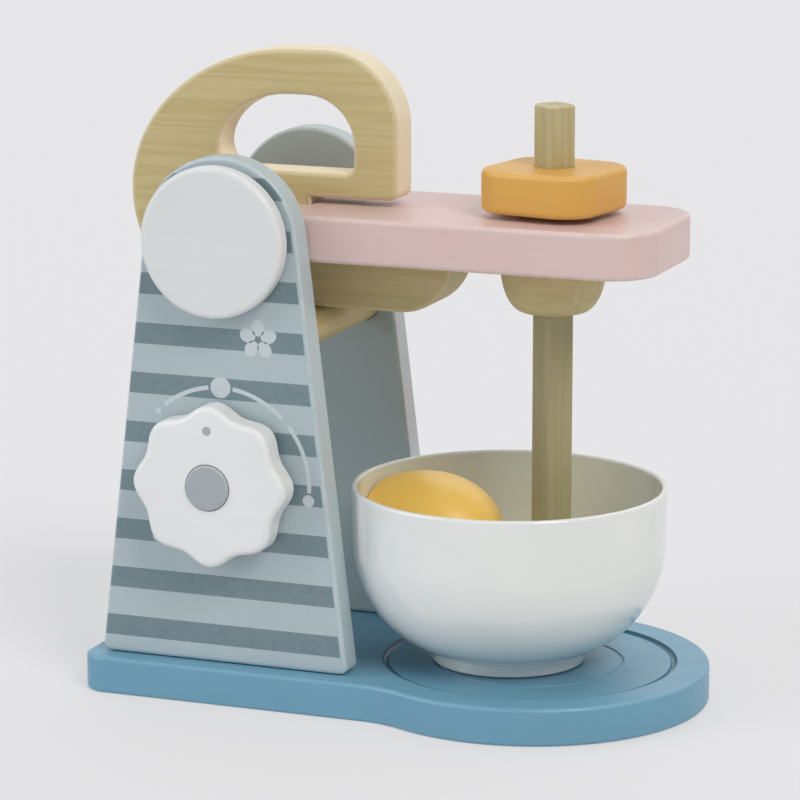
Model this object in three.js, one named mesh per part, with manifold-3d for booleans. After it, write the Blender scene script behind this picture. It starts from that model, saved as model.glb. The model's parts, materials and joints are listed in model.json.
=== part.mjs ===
// Toy stand mixer of painted wood. A flat base carries two tapered side panels and a bowl.
// Between the panels a head tilts on a cross axle: an arm board with a hand grip, a keel
// that comes down on a stop rail, and a beater that turns in the arm's front end.
// Millimetres. +X points to the beater end, -Y to the panel with the dial, +Z up.
// The origin is the centre of the base's underside, as the base's length and width bound the toy.
import * as THREE from 'three';
import { mergeVertices } from 'three/addons/utils/BufferGeometryUtils.js';
import Module from 'manifold-3d';

const wasm = await Module();
wasm.setup();

// Clearances
const seatGap = 0.3;
const runningGap = 0.4;
const cutterOverrun = 3;

// How closely facets follow a round
const chordError = 0.12;
const leastStep = 0.01;

// Base board, its margins measured from the panels' feet and from the recess that it holds
const baseThickness = 15;
const baseRearMargin = 6.5;
const baseSideMargin = 8.5;
const bowlEndSwell = 11.5;
const waistFillet = 40;
const baseCornerRadius = 10;
const baseEdge = 1.6;
const recessMargin = 14;
const recessDepth = 0.8;
const recessGrooveWidth = 2.4;
const recessGrooveDepth = 1.8;
const innerRingInset = 20.2;
const innerRingWidth = 1.4;

// Side panels
const pivotHeight = 184;
const panelGap = 78;
const panelThickness = 12;
const panelTopRadius = 32;
const panelFootHalfLength = 52.5;
const panelFootCorner = 3;
const panelEdge = 1.5;
const panelScrewInset = 19.5;

// Pivot axle and its caps
const axleRadius = 6;
const axleSocketDepth = 5;
const capSetIn = 2.5;
const capThickness = 8.2;
const capEdge = 2.2;
const washerRadius = 14;
const washerThickness = 0.6;

// Arm board
const armThickness = 18;
const armSideGap = 1;
const armNose = 48.5;
const armTail = 30;
const armFrontCorner = 20;
const armTailCorner = 4;
const armEdge = 2;

// Hand grip: an upright plate whose tongue fills a slot in the arm
const gripThickness = 17;
const gripHalfLength = 57;
const gripTop = 69.7;
const gripCrown = 14;
const gripShoulder = 11;
const gripFrontCorner = 30;
const gripFootGap = 2.6;
const gripFootCorner = 4;
const gripEdge = 2;
const tongueReach = 20;
const gripRearBar = 38.4;
const gripFrontBar = 18.5;
const gripTopBar = 18.2;
const gripFootBar = 9.9;
const holeCrownShift = 2.5;
const holeRearRise = 8.5;
const holeFrontCorner = 20;
const holeFloorCorner = 4;

// Keel under the arm and the rail that it rests on
const keelDepth = 22;
const keelThickness = 24;
const keelHubGap = 16.6;
const keelEdge = 1.5;
const keelScrewSetback = 4;
const keelScrewSpacing = 20;
const keelScrewCover = 5.7;
const railRadius = 7;
const railReach = 23.5;
const railSocketDepth = 5;

// Beater, its shaft ahead of the bowl's centre and ending above the bowl's floor
const beaterLead = 17.5;
const shaftRestTurn = THREE.MathUtils.degToRad(-37);
const knobRestTurn = THREE.MathUtils.degToRad(-10);
const shaftWidth = 12.4;
const shaftCorner = 2.2;
const shaftStub = 24.1;
const shaftFootLift = 34.6;
const shaftEdge = 1.2;
const knobWidth = 48.6;
const knobCorner = 14;
const knobThickness = 16.7;
const knobEdge = 2.4;
const spacerRadius = 14;
const spacerThickness = 1.6;
const hubTopRadius = 20.5;
const hubFootRadius = 11;
const hubHeight = 19.5;
const hubCollar = 1.5;

// Dial on the near panel
const dialDrop = 95;
const dialRadius = 30.5;
const dialLobes = 8;
const dialLobeDepth = 1.6;
const dialThickness = 12;
const dialStandoff = 1.8;
const dialEdge = 2.4;
const buttonRadius = 9;
const buttonThickness = 2.4;
const buttonProud = 1;
const dialPinRadius = 4;
const dialPinSocket = 6;
const retainerRadius = 10;
const retainerThickness = 5;
const retainerEdge = 1;

// Bowl: it stands a little behind the recess's centre, clear of the panels' front edges
const bowlPanelGap = 4.5;
const recessLead = 9;
const bowlRimRadius = 62.2;
const bowlWall = 2.4;
const bowlFloorLift = 2.5;
const bowlShoulderRadius = 45;
const bowlWallRise = 23;
const bowlDraft = 0.6;
const footRadius = 30.3;
const footWall = 3;
const footHeight = 3.4;

// Egg half: its cut face leans on the rear of the bowl's wall, with the lower rim on the bowl's floor
const eggRadius = 30;
const eggHeight = 43;
const eggEdge = 1.5;
const eggLean = THREE.MathUtils.degToRad(68);
const eggTurn = THREE.MathUtils.degToRad(-15);

// Wood screws with countersunk heads
const screwRadius = 1.9;
const screwHeadRadius = 3.9;
const screwHeadDepth = 2.4;
const screwTip = 4;
const screwSink = 0.6;
const panelScrewLength = 38;

// Widths and heights worked out from the sizes
const panelInside = panelGap / 2;
const panelOutside = panelInside + panelThickness;
const panelFoot = baseThickness + seatGap;
const baseRearHalfWidth = panelOutside + baseSideMargin;
const bowlEndRadius = baseRearHalfWidth + bowlEndSwell;
const recessRadius = bowlEndRadius - recessMargin;
const recessFloor = baseThickness - recessDepth;
const innerRingRadius = recessRadius - innerRingInset;
const capRadius = panelTopRadius - capSetIn;
const capGap = washerThickness + 2 * seatGap;
const armHalfWidth = panelInside - armSideGap;
const armTop = pivotHeight + armThickness / 2;
const armUnderside = pivotHeight - armThickness / 2;
const keelTop = armUnderside - seatGap;
const keelUnderside = keelTop - keelDepth;
const keelScrewLength = armTop - keelScrewCover - keelUnderside - screwSink;
const railZ = keelUnderside - seatGap - railRadius;
const knobFoot = armTop + spacerThickness + 2 * seatGap;
const dialHeight = pivotHeight - dialDrop;
const dialBack = -panelOutside - dialStandoff;
const dialFace = dialBack - dialThickness;
const retainerFace = runningGap - panelInside;
const bowlFoot = recessFloor + seatGap;
const bowlUnderside = bowlFoot + bowlFloorLift;
const bowlShoulderZ = bowlUnderside + bowlShoulderRadius;
const bowlRim = bowlShoulderZ + bowlWallRise;
const bowlShoulderX = bowlRimRadius - bowlDraft - bowlShoulderRadius;
const shaftTop = knobFoot + knobThickness + shaftStub;
const shaftFoot = bowlUnderside + bowlWall + shaftFootLift;

// How steeply a panel's straight sides stand, so that they meet its round top without a kink
const panelRise = pivotHeight - panelFoot;
const panelSideAngle = Math.atan2(panelRise, panelFootHalfLength)
  + Math.asin(panelTopRadius / Math.hypot(panelRise, panelFootHalfLength));

// Places along the toy, each reach measured from the pivot
const panelFrontAtBowl = panelFootHalfLength - (bowlShoulderZ - panelFoot) / Math.tan(panelSideAngle);
const bowlReach = panelFrontAtBowl + Math.sqrt((bowlRimRadius + bowlPanelGap) ** 2 - panelInside ** 2);
const beaterReach = bowlReach + beaterLead;
const armReach = beaterReach + armNose;
const keelReach = beaterReach - hubTopRadius - keelHubGap;
const rearReach = panelFootHalfLength + baseRearMargin;
const baseLength = rearReach + bowlReach + recessLead + bowlEndRadius;
const pivotX = rearReach - baseLength / 2;
const bowlX = pivotX + bowlReach;
const bowlEndX = bowlX + recessLead;
const beaterX = pivotX + beaterReach;

const bevelSteps = 2;
const dialStepsPerLobe = 10;

// Turns a closed three.js geometry into a solid that can be cut and joined.
function solidOf(geometry) {
  const bare = geometry.clone();
  bare.deleteAttribute('normal');
  bare.deleteAttribute('uv');
  const merged = mergeVertices(bare);
  const corners = merged.index.array;
  const kept = [];
  for (let i = 0; i < corners.length; i += 3) {
    const [a, b, c] = [corners[i], corners[i + 1], corners[i + 2]];
    if (a !== b && b !== c && c !== a) kept.push(a, b, c);
  }
  return new wasm.Manifold(new wasm.Mesh({
    numProp: 3,
    vertProperties: new Float32Array(merged.attributes.position.array),
    triVerts: new Uint32Array(kept),
  }));
}

function geometryOf(solid) {
  const mesh = solid.getMesh();
  const geometry = new THREE.BufferGeometry();
  geometry.setAttribute('position', new THREE.BufferAttribute(mesh.vertProperties, 3));
  geometry.setIndex(new THREE.BufferAttribute(mesh.triVerts, 1));
  geometry.computeVertexNormals();
  return geometry;
}

function cut(solid, ...cutters) {
  return cutters.reduce((left, cutter) => left.subtract(cutter), solid);
}

function join(first, ...others) {
  return others.reduce((sum, other) => sum.add(other), first);
}

// The facets that a round of this radius and sweep needs to stay within the chord error.
function facets(radius, sweep) {
  return Math.max(2, Math.ceil(sweep / (2 * Math.acos(1 - chordError / Math.max(radius, 2 * chordError)))));
}

function sidesOf(radius) {
  return 4 * Math.ceil(facets(radius, 2 * Math.PI) / 4);
}

function withoutRepeats(points) {
  return points.filter((point, i) => i === 0 || point.distanceTo(points[i - 1]) > leastStep);
}

// A path's points, with no point given twice where two curves meet.
function pointsOf(path) {
  return withoutRepeats(path.curves.flatMap((curve) => {
    if (!curve.isEllipseCurve) return curve.getPoints(1);
    const radius = Math.max(curve.xRadius, curve.yRadius);
    return curve.getPoints(facets(radius, Math.abs(curve.aEndAngle - curve.aStartAngle)));
  }));
}

function closedPointsOf(path) {
  const points = pointsOf(path);
  if (points[0].distanceTo(points[points.length - 1]) < leastStep) points.pop();
  return points;
}

// A plate with softened edges, its outline drawn at full size.
function plateGeometry(shape, thickness, edge) {
  const outline = new THREE.Shape(closedPointsOf(shape));
  outline.holes = shape.holes.map((hole) => new THREE.Path(closedPointsOf(hole)));
  const geometry = new THREE.ExtrudeGeometry(outline, {
    depth: thickness - 2 * edge,
    bevelEnabled: edge > 0,
    bevelThickness: edge,
    bevelSize: edge,
    bevelOffset: -edge,
    bevelSegments: bevelSteps,
  });
  return geometry.translate(0, 0, edge);
}

// A plate that lies flat: the outline is seen from above and its underside is at height z.
function flatPlate(shape, thickness, edge, z) {
  return solidOf(plateGeometry(shape, thickness, edge).translate(0, 0, z));
}

// A plate that stands upright: the outline is in X and Z, and the plate starts at y.
function uprightPlate(shape, thickness, edge, y) {
  const geometry = plateGeometry(shape, thickness, edge);
  return solidOf(geometry.rotateX(Math.PI / 2).translate(0, y + thickness, 0));
}

// A round bar along Y or Z between two stations.
function barAlongY(radius, x, z, from, to) {
  const geometry = new THREE.CylinderGeometry(radius, radius, to - from, sidesOf(radius));
  return solidOf(geometry.translate(x, (from + to) / 2, z));
}

function barAlongZ(radius, x, y, from, to) {
  const geometry = new THREE.CylinderGeometry(radius, radius, to - from, sidesOf(radius));
  return solidOf(geometry.rotateX(Math.PI / 2).translate(x, y, (from + to) / 2));
}

// A turned piece: the profile's second coordinate runs along Z.
function turnedAlongZ(profile, x, y) {
  const widest = Math.max(...profile.map((point) => point.x));
  const geometry = new THREE.LatheGeometry(profile, sidesOf(widest));
  return solidOf(geometry.rotateX(Math.PI / 2).translate(x, y, 0));
}

// A turned disc along Y with rounded rims, from its inner face at y to its outer face.
function discAlongY(radius, thickness, edge, x, z, y, outward) {
  const profile = new THREE.Path();
  profile.moveTo(0, 0);
  profile.lineTo(radius - edge, 0);
  profile.absarc(radius - edge, edge, edge, -Math.PI / 2, 0);
  profile.absarc(radius - edge, thickness - edge, edge, 0, Math.PI / 2);
  profile.lineTo(0, thickness);
  const geometry = new THREE.LatheGeometry(pointsOf(profile), sidesOf(radius));
  if (outward < 0) geometry.rotateX(Math.PI);
  return solidOf(geometry.translate(x, y, z));
}

function roundedRectangle(halfLength, halfWidth, corner) {
  const shape = new THREE.Shape();
  shape.absarc(halfLength - corner, corner - halfWidth, corner, -Math.PI / 2, 0);
  shape.absarc(halfLength - corner, halfWidth - corner, corner, 0, Math.PI / 2);
  shape.absarc(corner - halfLength, halfWidth - corner, corner, Math.PI / 2, Math.PI);
  shape.absarc(corner - halfLength, corner - halfWidth, corner, Math.PI, 1.5 * Math.PI);
  return shape;
}

// A countersunk wood screw driven upwards, its head's face at height z.
function screwProfile(length, slack) {
  return withoutRepeats([
    new THREE.Vector2(0, -slack),
    new THREE.Vector2(screwHeadRadius + slack, -slack),
    new THREE.Vector2(screwHeadRadius + slack, 0),
    new THREE.Vector2(screwRadius + slack, screwHeadDepth),
    new THREE.Vector2(screwRadius + slack, length - screwTip),
    new THREE.Vector2(0, length + slack),
  ]);
}

function screw(x, y, z, length) {
  return turnedAlongZ(screwProfile(length, 0), x, y).translate([0, 0, z]);
}

// The hole that a screw fills, open below its head down to the height of the face it enters.
function screwHole(x, y, z, face, length) {
  const bore = turnedAlongZ(screwProfile(length, seatGap), x, y).translate([0, 0, z]);
  const mouth = barAlongZ(screwHeadRadius + seatGap, x, y, face - cutterOverrun, z);
  return join(bore, mouth);
}

function panelScrewPlaces(side) {
  const y = side * (panelInside + panelThickness / 2);
  return [-1, 1].map((end) => [pivotX + end * (panelFootHalfLength - panelScrewInset), y]);
}

// Base: a straight-sided rear part that swells through concave fillets into a round bowl end.
function baseOutline() {
  const reach = bowlEndRadius + waistFillet;
  const filletY = baseRearHalfWidth + waistFillet;
  const filletX = bowlEndX - Math.sqrt(reach * reach - filletY * filletY);
  const turn = Math.atan2(filletY, bowlEndX - filletX);
  const rear = -baseLength / 2;
  const corner = baseCornerRadius;
  const half = baseRearHalfWidth;
  const shape = new THREE.Shape();
  shape.absarc(filletX, -filletY, waistFillet, Math.PI / 2, turn, true);
  shape.absarc(bowlEndX, 0, bowlEndRadius, turn - Math.PI, 0);
  shape.absarc(bowlEndX, 0, bowlEndRadius, 0, Math.PI - turn);
  shape.absarc(filletX, filletY, waistFillet, -turn, -Math.PI / 2, true);
  shape.lineTo(rear + corner, half);
  shape.absarc(rear + corner, half - corner, corner, Math.PI / 2, Math.PI);
  shape.absarc(rear + corner, corner - half, corner, Math.PI, 1.5 * Math.PI);
  return shape;
}

function recessCutter() {
  const top = baseThickness + cutterOverrun;
  const groove = baseThickness - recessGrooveDepth;
  const grooveInside = recessRadius - recessGrooveWidth / 2;
  const grooveOutside = recessRadius + recessGrooveWidth / 2;
  const ringInside = innerRingRadius - innerRingWidth / 2;
  const ringOutside = innerRingRadius + innerRingWidth / 2;
  const profile = [
    new THREE.Vector2(0, recessFloor),
    new THREE.Vector2(ringInside, recessFloor),
    new THREE.Vector2(innerRingRadius, recessFloor - innerRingWidth / 2),
    new THREE.Vector2(ringOutside, recessFloor),
    new THREE.Vector2(grooveInside, recessFloor),
    new THREE.Vector2(recessRadius, groove),
    new THREE.Vector2(grooveOutside, baseThickness),
    new THREE.Vector2(grooveOutside, top),
    new THREE.Vector2(0, top),
  ];
  return turnedAlongZ(profile, bowlEndX, 0);
}

function baseBoard() {
  const holes = [-1, 1].flatMap((side) => panelScrewPlaces(side)
    .map(([x, y]) => screwHole(x, y, screwSink, 0, panelScrewLength)));
  const board = flatPlate(baseOutline(), baseThickness, baseEdge, 0);
  return cut(board, recessCutter(), ...holes);
}

// Side panel: straight sides from the foot, tangent to the round top about the pivot.
function panelOutline() {
  const tangent = Math.PI / 2 - panelSideAngle;
  const corner = panelFootCorner;
  const cornerReach = panelFootHalfLength - corner / Math.tan(panelSideAngle / 2);
  const cornerZ = panelFoot + corner;
  const shape = new THREE.Shape();
  shape.absarc(pivotX + cornerReach, cornerZ, corner, -Math.PI / 2, tangent);
  shape.absarc(pivotX, pivotHeight, panelTopRadius, tangent, Math.PI - tangent);
  shape.absarc(pivotX - cornerReach, cornerZ, corner, Math.PI - tangent, 1.5 * Math.PI);
  return shape;
}

function sidePanel(side) {
  const start = side > 0 ? panelInside : -panelOutside;
  const board = uprightPlate(panelOutline(), panelThickness, panelEdge, start);
  const axleBore = barAlongY(axleRadius + runningGap, pivotX, pivotHeight,
    start - cutterOverrun, start + panelThickness + cutterOverrun);
  const socketEnds = [panelInside - cutterOverrun, panelInside + railSocketDepth].map((y) => side * y);
  const railSocket = barAlongY(railRadius + seatGap, pivotX + railReach, railZ,
    Math.min(...socketEnds), Math.max(...socketEnds));
  const holes = panelScrewPlaces(side).map(([x, y]) => screwHole(x, y, screwSink, 0, panelScrewLength));
  return cut(board, axleBore, railSocket, ...holes);
}

function nearPanel() {
  const pinBore = barAlongY(dialPinRadius + runningGap, pivotX, dialHeight,
    -panelOutside - cutterOverrun, -panelInside + cutterOverrun);
  return cut(sidePanel(-1), pinBore);
}

// Stop rail: a dowel across the panels, just under the keel.
function stopRail() {
  const half = panelInside + railSocketDepth - seatGap;
  return barAlongY(railRadius, pivotX + railReach, railZ, -half, half);
}

// Pivot axle with a glued cap on each end. It turns in the panels with the head.
function pivotAxle() {
  const half = panelOutside + capGap + axleSocketDepth - seatGap;
  return barAlongY(axleRadius, pivotX, pivotHeight, -half, half);
}

function axleCap(side) {
  const inner = side * (panelOutside + capGap);
  const disc = discAlongY(capRadius, capThickness, capEdge, pivotX, pivotHeight, inner, side);
  const ends = [inner - side * cutterOverrun, inner + side * axleSocketDepth];
  const socket = barAlongY(axleRadius + seatGap, pivotX, pivotHeight, Math.min(...ends), Math.max(...ends));
  return cut(disc, socket);
}

function capWasher(side) {
  const ends = [side * (panelOutside + seatGap), side * (panelOutside + seatGap + washerThickness)];
  const [from, to] = [Math.min(...ends), Math.max(...ends)];
  const disc = barAlongY(washerRadius, pivotX, pivotHeight, from, to);
  const bore = barAlongY(axleRadius + seatGap, pivotX, pivotHeight, from - cutterOverrun, to + cutterOverrun);
  return cut(disc, bore);
}

// Arm board: rounded at the front, with a slot in its tail for the grip's tongue.
function armOutline() {
  const front = pivotX + armReach;
  const tail = pivotX - armTail;
  const slotEnd = pivotX + tongueReach + seatGap;
  const slotHalf = gripThickness / 2 + seatGap;
  const [nose, heel, half] = [armFrontCorner, armTailCorner, armHalfWidth];
  const shape = new THREE.Shape();
  shape.absarc(front - nose, nose - half, nose, -Math.PI / 2, 0);
  shape.absarc(front - nose, half - nose, nose, 0, Math.PI / 2);
  shape.absarc(tail + heel, half - heel, heel, Math.PI / 2, Math.PI);
  shape.lineTo(tail, slotHalf);
  shape.lineTo(slotEnd, slotHalf);
  shape.lineTo(slotEnd, -slotHalf);
  shape.lineTo(tail, -slotHalf);
  shape.absarc(tail + heel, heel - half, heel, Math.PI, 1.5 * Math.PI);
  return shape;
}

function armBoard() {
  const board = flatPlate(armOutline(), armThickness, armEdge, armUnderside);
  const half = armHalfWidth + cutterOverrun;
  const axleBore = barAlongY(axleRadius + seatGap, pivotX, pivotHeight, -half, half);
  const shaftBore = barAlongZ(shaftReach() + runningGap, beaterX, 0,
    armUnderside - cutterOverrun, armTop + cutterOverrun);
  return cut(board, axleBore, shaftBore, ...keelScrewHoles());
}

// Grip: a flattened D, high at the rear, with a long hand hole. Its foot stops clear of the arm.
function gripOutline() {
  const front = pivotX + gripHalfLength;
  const top = pivotHeight + gripTop;
  const crown = pivotX + gripCrown;
  const shoulder = pivotHeight + gripShoulder;
  const foot = armTop + gripFootGap;
  const tongueFront = pivotX + tongueReach;
  const rearWidth = gripCrown + gripHalfLength;
  const rearHeight = gripTop - gripShoulder;
  const tailTurn = Math.asin((shoulder - armUnderside) / rearHeight);
  const corner = gripFrontCorner;
  const toe = gripFootCorner;
  const shape = new THREE.Shape();
  shape.moveTo(tongueFront, foot);
  shape.lineTo(front - toe, foot);
  shape.absarc(front - toe, foot + toe, toe, -Math.PI / 2, 0);
  shape.absarc(front - corner, top - corner, corner, 0, Math.PI / 2);
  shape.absellipse(crown, shoulder, rearWidth, rearHeight, Math.PI / 2, Math.PI + tailTurn);
  shape.lineTo(tongueFront, armUnderside);
  shape.holes.push(handHole());
  return shape;
}

function handHole() {
  const rear = pivotX - gripHalfLength + gripRearBar;
  const front = pivotX + gripHalfLength - gripFrontBar;
  const top = pivotHeight + gripTop - gripTopBar;
  const floor = armTop + gripFootGap + gripFootBar;
  const crown = pivotX + gripCrown - holeCrownShift;
  const rearRise = floor + holeRearRise;
  const [corner, floorCorner] = [holeFrontCorner, holeFloorCorner];
  const hole = new THREE.Path();
  hole.absarc(front - floorCorner, floor + floorCorner, floorCorner, -Math.PI / 2, 0);
  hole.absarc(front - corner, top - corner, corner, 0, Math.PI / 2);
  hole.absellipse(crown, rearRise, crown - rear, top - rearRise, Math.PI / 2, Math.PI);
  hole.absarc(rear + holeRearRise, rearRise, holeRearRise, Math.PI, 1.5 * Math.PI);
  hole.closePath();
  return hole;
}

function handGrip() {
  const half = gripThickness / 2;
  const plate = uprightPlate(gripOutline(), gripThickness, gripEdge, -half);
  const bore = barAlongY(axleRadius + seatGap, pivotX, pivotHeight,
    -half - cutterOverrun, half + cutterOverrun);
  return cut(plate, bore);
}

// Keel: its rear end is rounded about the pivot, so it swings clear of the stop rail.
function keelOutline() {
  const swing = pivotHeight - keelUnderside;
  const rise = pivotHeight - keelTop;
  const shape = new THREE.Shape();
  shape.absarc(pivotX, pivotHeight, swing, Math.PI + Math.asin(rise / swing), 1.5 * Math.PI);
  shape.absarc(pivotX + keelReach - keelDepth, keelTop, keelDepth, -Math.PI / 2, 0);
  return shape;
}

function keelScrewPlaces() {
  const front = pivotX + keelReach - keelDepth - keelScrewSetback;
  return [front - keelScrewSpacing, front];
}

function keelScrewHoles() {
  return keelScrewPlaces().map((x) => screwHole(x, 0, keelUnderside + screwSink, keelUnderside, keelScrewLength));
}

function keelBlock() {
  const block = uprightPlate(keelOutline(), keelThickness, keelEdge, -keelThickness / 2);
  return cut(block, ...keelScrewHoles());
}

// Beater: a square shaft with eased corners carries the knob above the arm and the hub below it.
function shaftReach() {
  return (shaftWidth / 2 - shaftCorner) * Math.SQRT2 + shaftCorner;
}

function turnedToRest(solid, turn) {
  return solid.rotate([0, 0, THREE.MathUtils.radToDeg(turn)]).translate([beaterX, 0, 0]);
}

function squareBar(width, corner, from, to, edge) {
  return flatPlate(roundedRectangle(width / 2, width / 2, corner), to - from, edge, from);
}

function beaterShaft() {
  return turnedToRest(squareBar(shaftWidth, shaftCorner, shaftFoot, shaftTop, shaftEdge), shaftRestTurn);
}

function shaftHole(from, to) {
  const width = shaftWidth + 2 * seatGap;
  const bar = squareBar(width, shaftCorner + seatGap, from - cutterOverrun, to + cutterOverrun, 0);
  return turnedToRest(bar, shaftRestTurn);
}

function beaterKnob() {
  const slab = squareBar(knobWidth, knobCorner, knobFoot, knobFoot + knobThickness, knobEdge);
  return cut(turnedToRest(slab, knobRestTurn), shaftHole(knobFoot, knobFoot + knobThickness));
}

function knobSpacer() {
  const foot = armTop + seatGap;
  const disc = barAlongZ(spacerRadius, beaterX, 0, foot, foot + spacerThickness);
  return cut(disc, shaftHole(foot, foot + spacerThickness));
}

function beaterHub() {
  const top = armUnderside - seatGap;
  const foot = top - hubHeight;
  const profile = new THREE.Path();
  profile.moveTo(0, foot);
  profile.lineTo(hubFootRadius, foot);
  profile.absellipse(hubFootRadius, top - hubCollar, hubTopRadius - hubFootRadius, hubHeight - hubCollar,
    -Math.PI / 2, 0);
  profile.lineTo(hubTopRadius, top);
  profile.lineTo(0, top);
  const cup = turnedAlongZ(pointsOf(profile), beaterX, 0);
  return cut(cup, shaftHole(foot, top));
}

// Dial: a softly lobed wooden disc on a pin through the near panel, held by a ring inside.
function dialOutline() {
  const points = [];
  const steps = dialLobes * dialStepsPerLobe;
  for (let i = 0; i < steps; i += 1) {
    const angle = (2 * Math.PI * i) / steps;
    const radius = dialRadius + dialLobeDepth * Math.cos(dialLobes * angle);
    points.push(new THREE.Vector2(pivotX + radius * Math.cos(angle), dialHeight + radius * Math.sin(angle)));
  }
  return new THREE.Shape(points);
}

function dialKnob() {
  const disc = uprightPlate(dialOutline(), dialThickness, dialEdge, dialFace);
  const recess = barAlongY(buttonRadius + seatGap, pivotX, dialHeight,
    dialFace - cutterOverrun, dialFace + buttonThickness - buttonProud + seatGap);
  const socket = barAlongY(dialPinRadius + seatGap, pivotX, dialHeight,
    dialBack - dialPinSocket, dialBack + cutterOverrun);
  return cut(disc, recess, socket);
}

function dialButton() {
  return discAlongY(buttonRadius, buttonThickness, buttonProud, pivotX, dialHeight,
    dialFace - buttonProud + buttonThickness, -1);
}

function dialPin() {
  return barAlongY(dialPinRadius, pivotX, dialHeight,
    dialBack - dialPinSocket + seatGap, retainerFace + retainerThickness);
}

function dialRetainer() {
  const disc = discAlongY(retainerRadius, retainerThickness, retainerEdge, pivotX, dialHeight, retainerFace, 1);
  const bore = barAlongY(dialPinRadius + seatGap, pivotX, dialHeight,
    retainerFace - cutterOverrun, retainerFace + retainerThickness + cutterOverrun);
  return cut(disc, bore);
}

// Bowl: thin, with a foot ring and a rounded shoulder that runs up into an almost upright wall.
function bowlProfile() {
  const footInner = footRadius - footWall;
  const landing = -Math.acos((footRadius - bowlShoulderX) / bowlShoulderRadius);
  const profile = new THREE.Path();
  profile.moveTo(0, bowlUnderside);
  profile.lineTo(bowlShoulderX, bowlUnderside);
  profile.lineTo(footInner, bowlFoot + footHeight);
  profile.lineTo(footInner, bowlFoot);
  profile.lineTo(footRadius, bowlFoot);
  profile.absarc(bowlShoulderX, bowlShoulderZ, bowlShoulderRadius, landing, 0);
  profile.absarc(bowlRimRadius - bowlWall / 2, bowlRim - bowlWall / 2, bowlWall / 2, 0, Math.PI);
  profile.absarc(bowlShoulderX, bowlShoulderZ, bowlShoulderRadius - bowlWall, 0, -Math.PI / 2, true);
  profile.lineTo(0, bowlUnderside + bowlWall);
  return pointsOf(profile);
}

function bowl() {
  return turnedAlongZ(bowlProfile(), bowlX, 0);
}

// Egg half: a tall dome over a flat cut face with a softened rim. The rim's round is seated on the
// bowl at its highest point, or at its sides where those meet the wall first, and at its lowest
// point on the curve down to the floor.
function eggSeat() {
  const rim = eggRadius - eggEdge;
  const reach = bowlShoulderRadius - bowlWall - seatGap - eggEdge;
  const wall = bowlShoulderX + reach;
  const high = wall - rim * Math.cos(eggLean);
  const setback = Math.min(high, Math.sqrt(wall ** 2 - rim ** 2));
  const low = Math.max(0, setback - rim * Math.cos(eggLean) - bowlShoulderX);
  return [-setback, 0, bowlShoulderZ - Math.sqrt(reach ** 2 - low ** 2) + rim * Math.sin(eggLean)];
}

function eggHalf() {
  const profile = new THREE.Path();
  profile.moveTo(0, 0);
  profile.lineTo(eggRadius - eggEdge, 0);
  profile.absarc(eggRadius - eggEdge, eggEdge, eggEdge, -Math.PI / 2, 0);
  profile.absellipse(0, eggEdge, eggRadius, eggHeight - eggEdge, 0, Math.PI / 2);
  return turnedAlongZ(pointsOf(profile), 0, 0)
    .translate([0, 0, -eggEdge])
    .rotate([0, THREE.MathUtils.radToDeg(eggLean), 0])
    .translate(eggSeat())
    .rotate([0, 0, THREE.MathUtils.radToDeg(eggTurn)])
    .translate([bowlX, 0, 0]);
}

function paint(color, roughness) {
  return new THREE.MeshStandardMaterial({ color, roughness, metalness: 0 });
}

const bluePaint = paint(0x6ba3bd, 0.5);
const panelPaint = paint(0xa9b9c0, 0.55);
const whitePaint = paint(0xe6e8e6, 0.45);
const pinkPaint = paint(0xd3b5b1, 0.55);
const orangePaint = paint(0xe0a045, 0.5);
const greyPaint = paint(0xa7adb0, 0.5);
const bareWood = paint(0xc2ae78, 0.65);
const bowlGlaze = paint(0xe8e8e6, 0.2);
const eggLacquer = paint(0xf0bb48, 0.3);
const fibre = paint(0x8c7f6a, 0.9);
const zincSteel = new THREE.MeshStandardMaterial({ color: 0xb8bcc0, roughness: 0.35, metalness: 1 });

const toy = new THREE.Group();
const screwEnds = ['rear', 'front'];

function add(name, solid, material) {
  const mesh = new THREE.Mesh(geometryOf(solid), material);
  mesh.name = name;
  toy.add(mesh);
}

add('base_board', baseBoard(), bluePaint);
add('near_panel', nearPanel(), panelPaint);
add('far_panel', sidePanel(1), panelPaint);
for (const [side, panel] of [[-1, 'near_panel'], [1, 'far_panel']]) {
  panelScrewPlaces(side).forEach(([x, y], i) => {
    add(`${panel}_screw_${screwEnds[i]}`, screw(x, y, screwSink, panelScrewLength), zincSteel);
  });
}
add('stop_rail', stopRail(), bareWood);

add('pivot_axle', pivotAxle(), bareWood);
add('near_axle_cap', axleCap(-1), whitePaint);
add('far_axle_cap', axleCap(1), whitePaint);
add('near_cap_washer', capWasher(-1), fibre);
add('far_cap_washer', capWasher(1), fibre);
add('arm_board', armBoard(), pinkPaint);
add('hand_grip', handGrip(), bareWood);
add('keel_block', keelBlock(), bareWood);
keelScrewPlaces().forEach((x, i) => {
  add(`keel_screw_${screwEnds[i]}`, screw(x, 0, keelUnderside + screwSink, keelScrewLength), zincSteel);
});

add('beater_shaft', beaterShaft(), bareWood);
add('beater_knob', beaterKnob(), orangePaint);
add('knob_spacer', knobSpacer(), bareWood);
add('beater_hub', beaterHub(), bareWood);

add('dial_knob', dialKnob(), whitePaint);
add('dial_button', dialButton(), greyPaint);
add('dial_pin', dialPin(), bareWood);
add('dial_retainer', dialRetainer(), bareWood);

add('bowl', bowl(), bowlGlaze);
add('egg_half', eggHalf(), eggLacquer);

export default toy;
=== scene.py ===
# Toy stand mixer of painted wood: its finished surfaces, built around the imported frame.
# Pieces are drawn in millimetres in the frame's axes, and become metres when they are made.
import json
from collections import namedtuple
from math import acos, asin, atan2, ceil, cos, degrees, hypot, pi, radians, sin, sqrt, tan

import bmesh
import bpy
from mathutils import Matrix, Vector
from mathutils.geometry import tessellate_polygon


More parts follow.
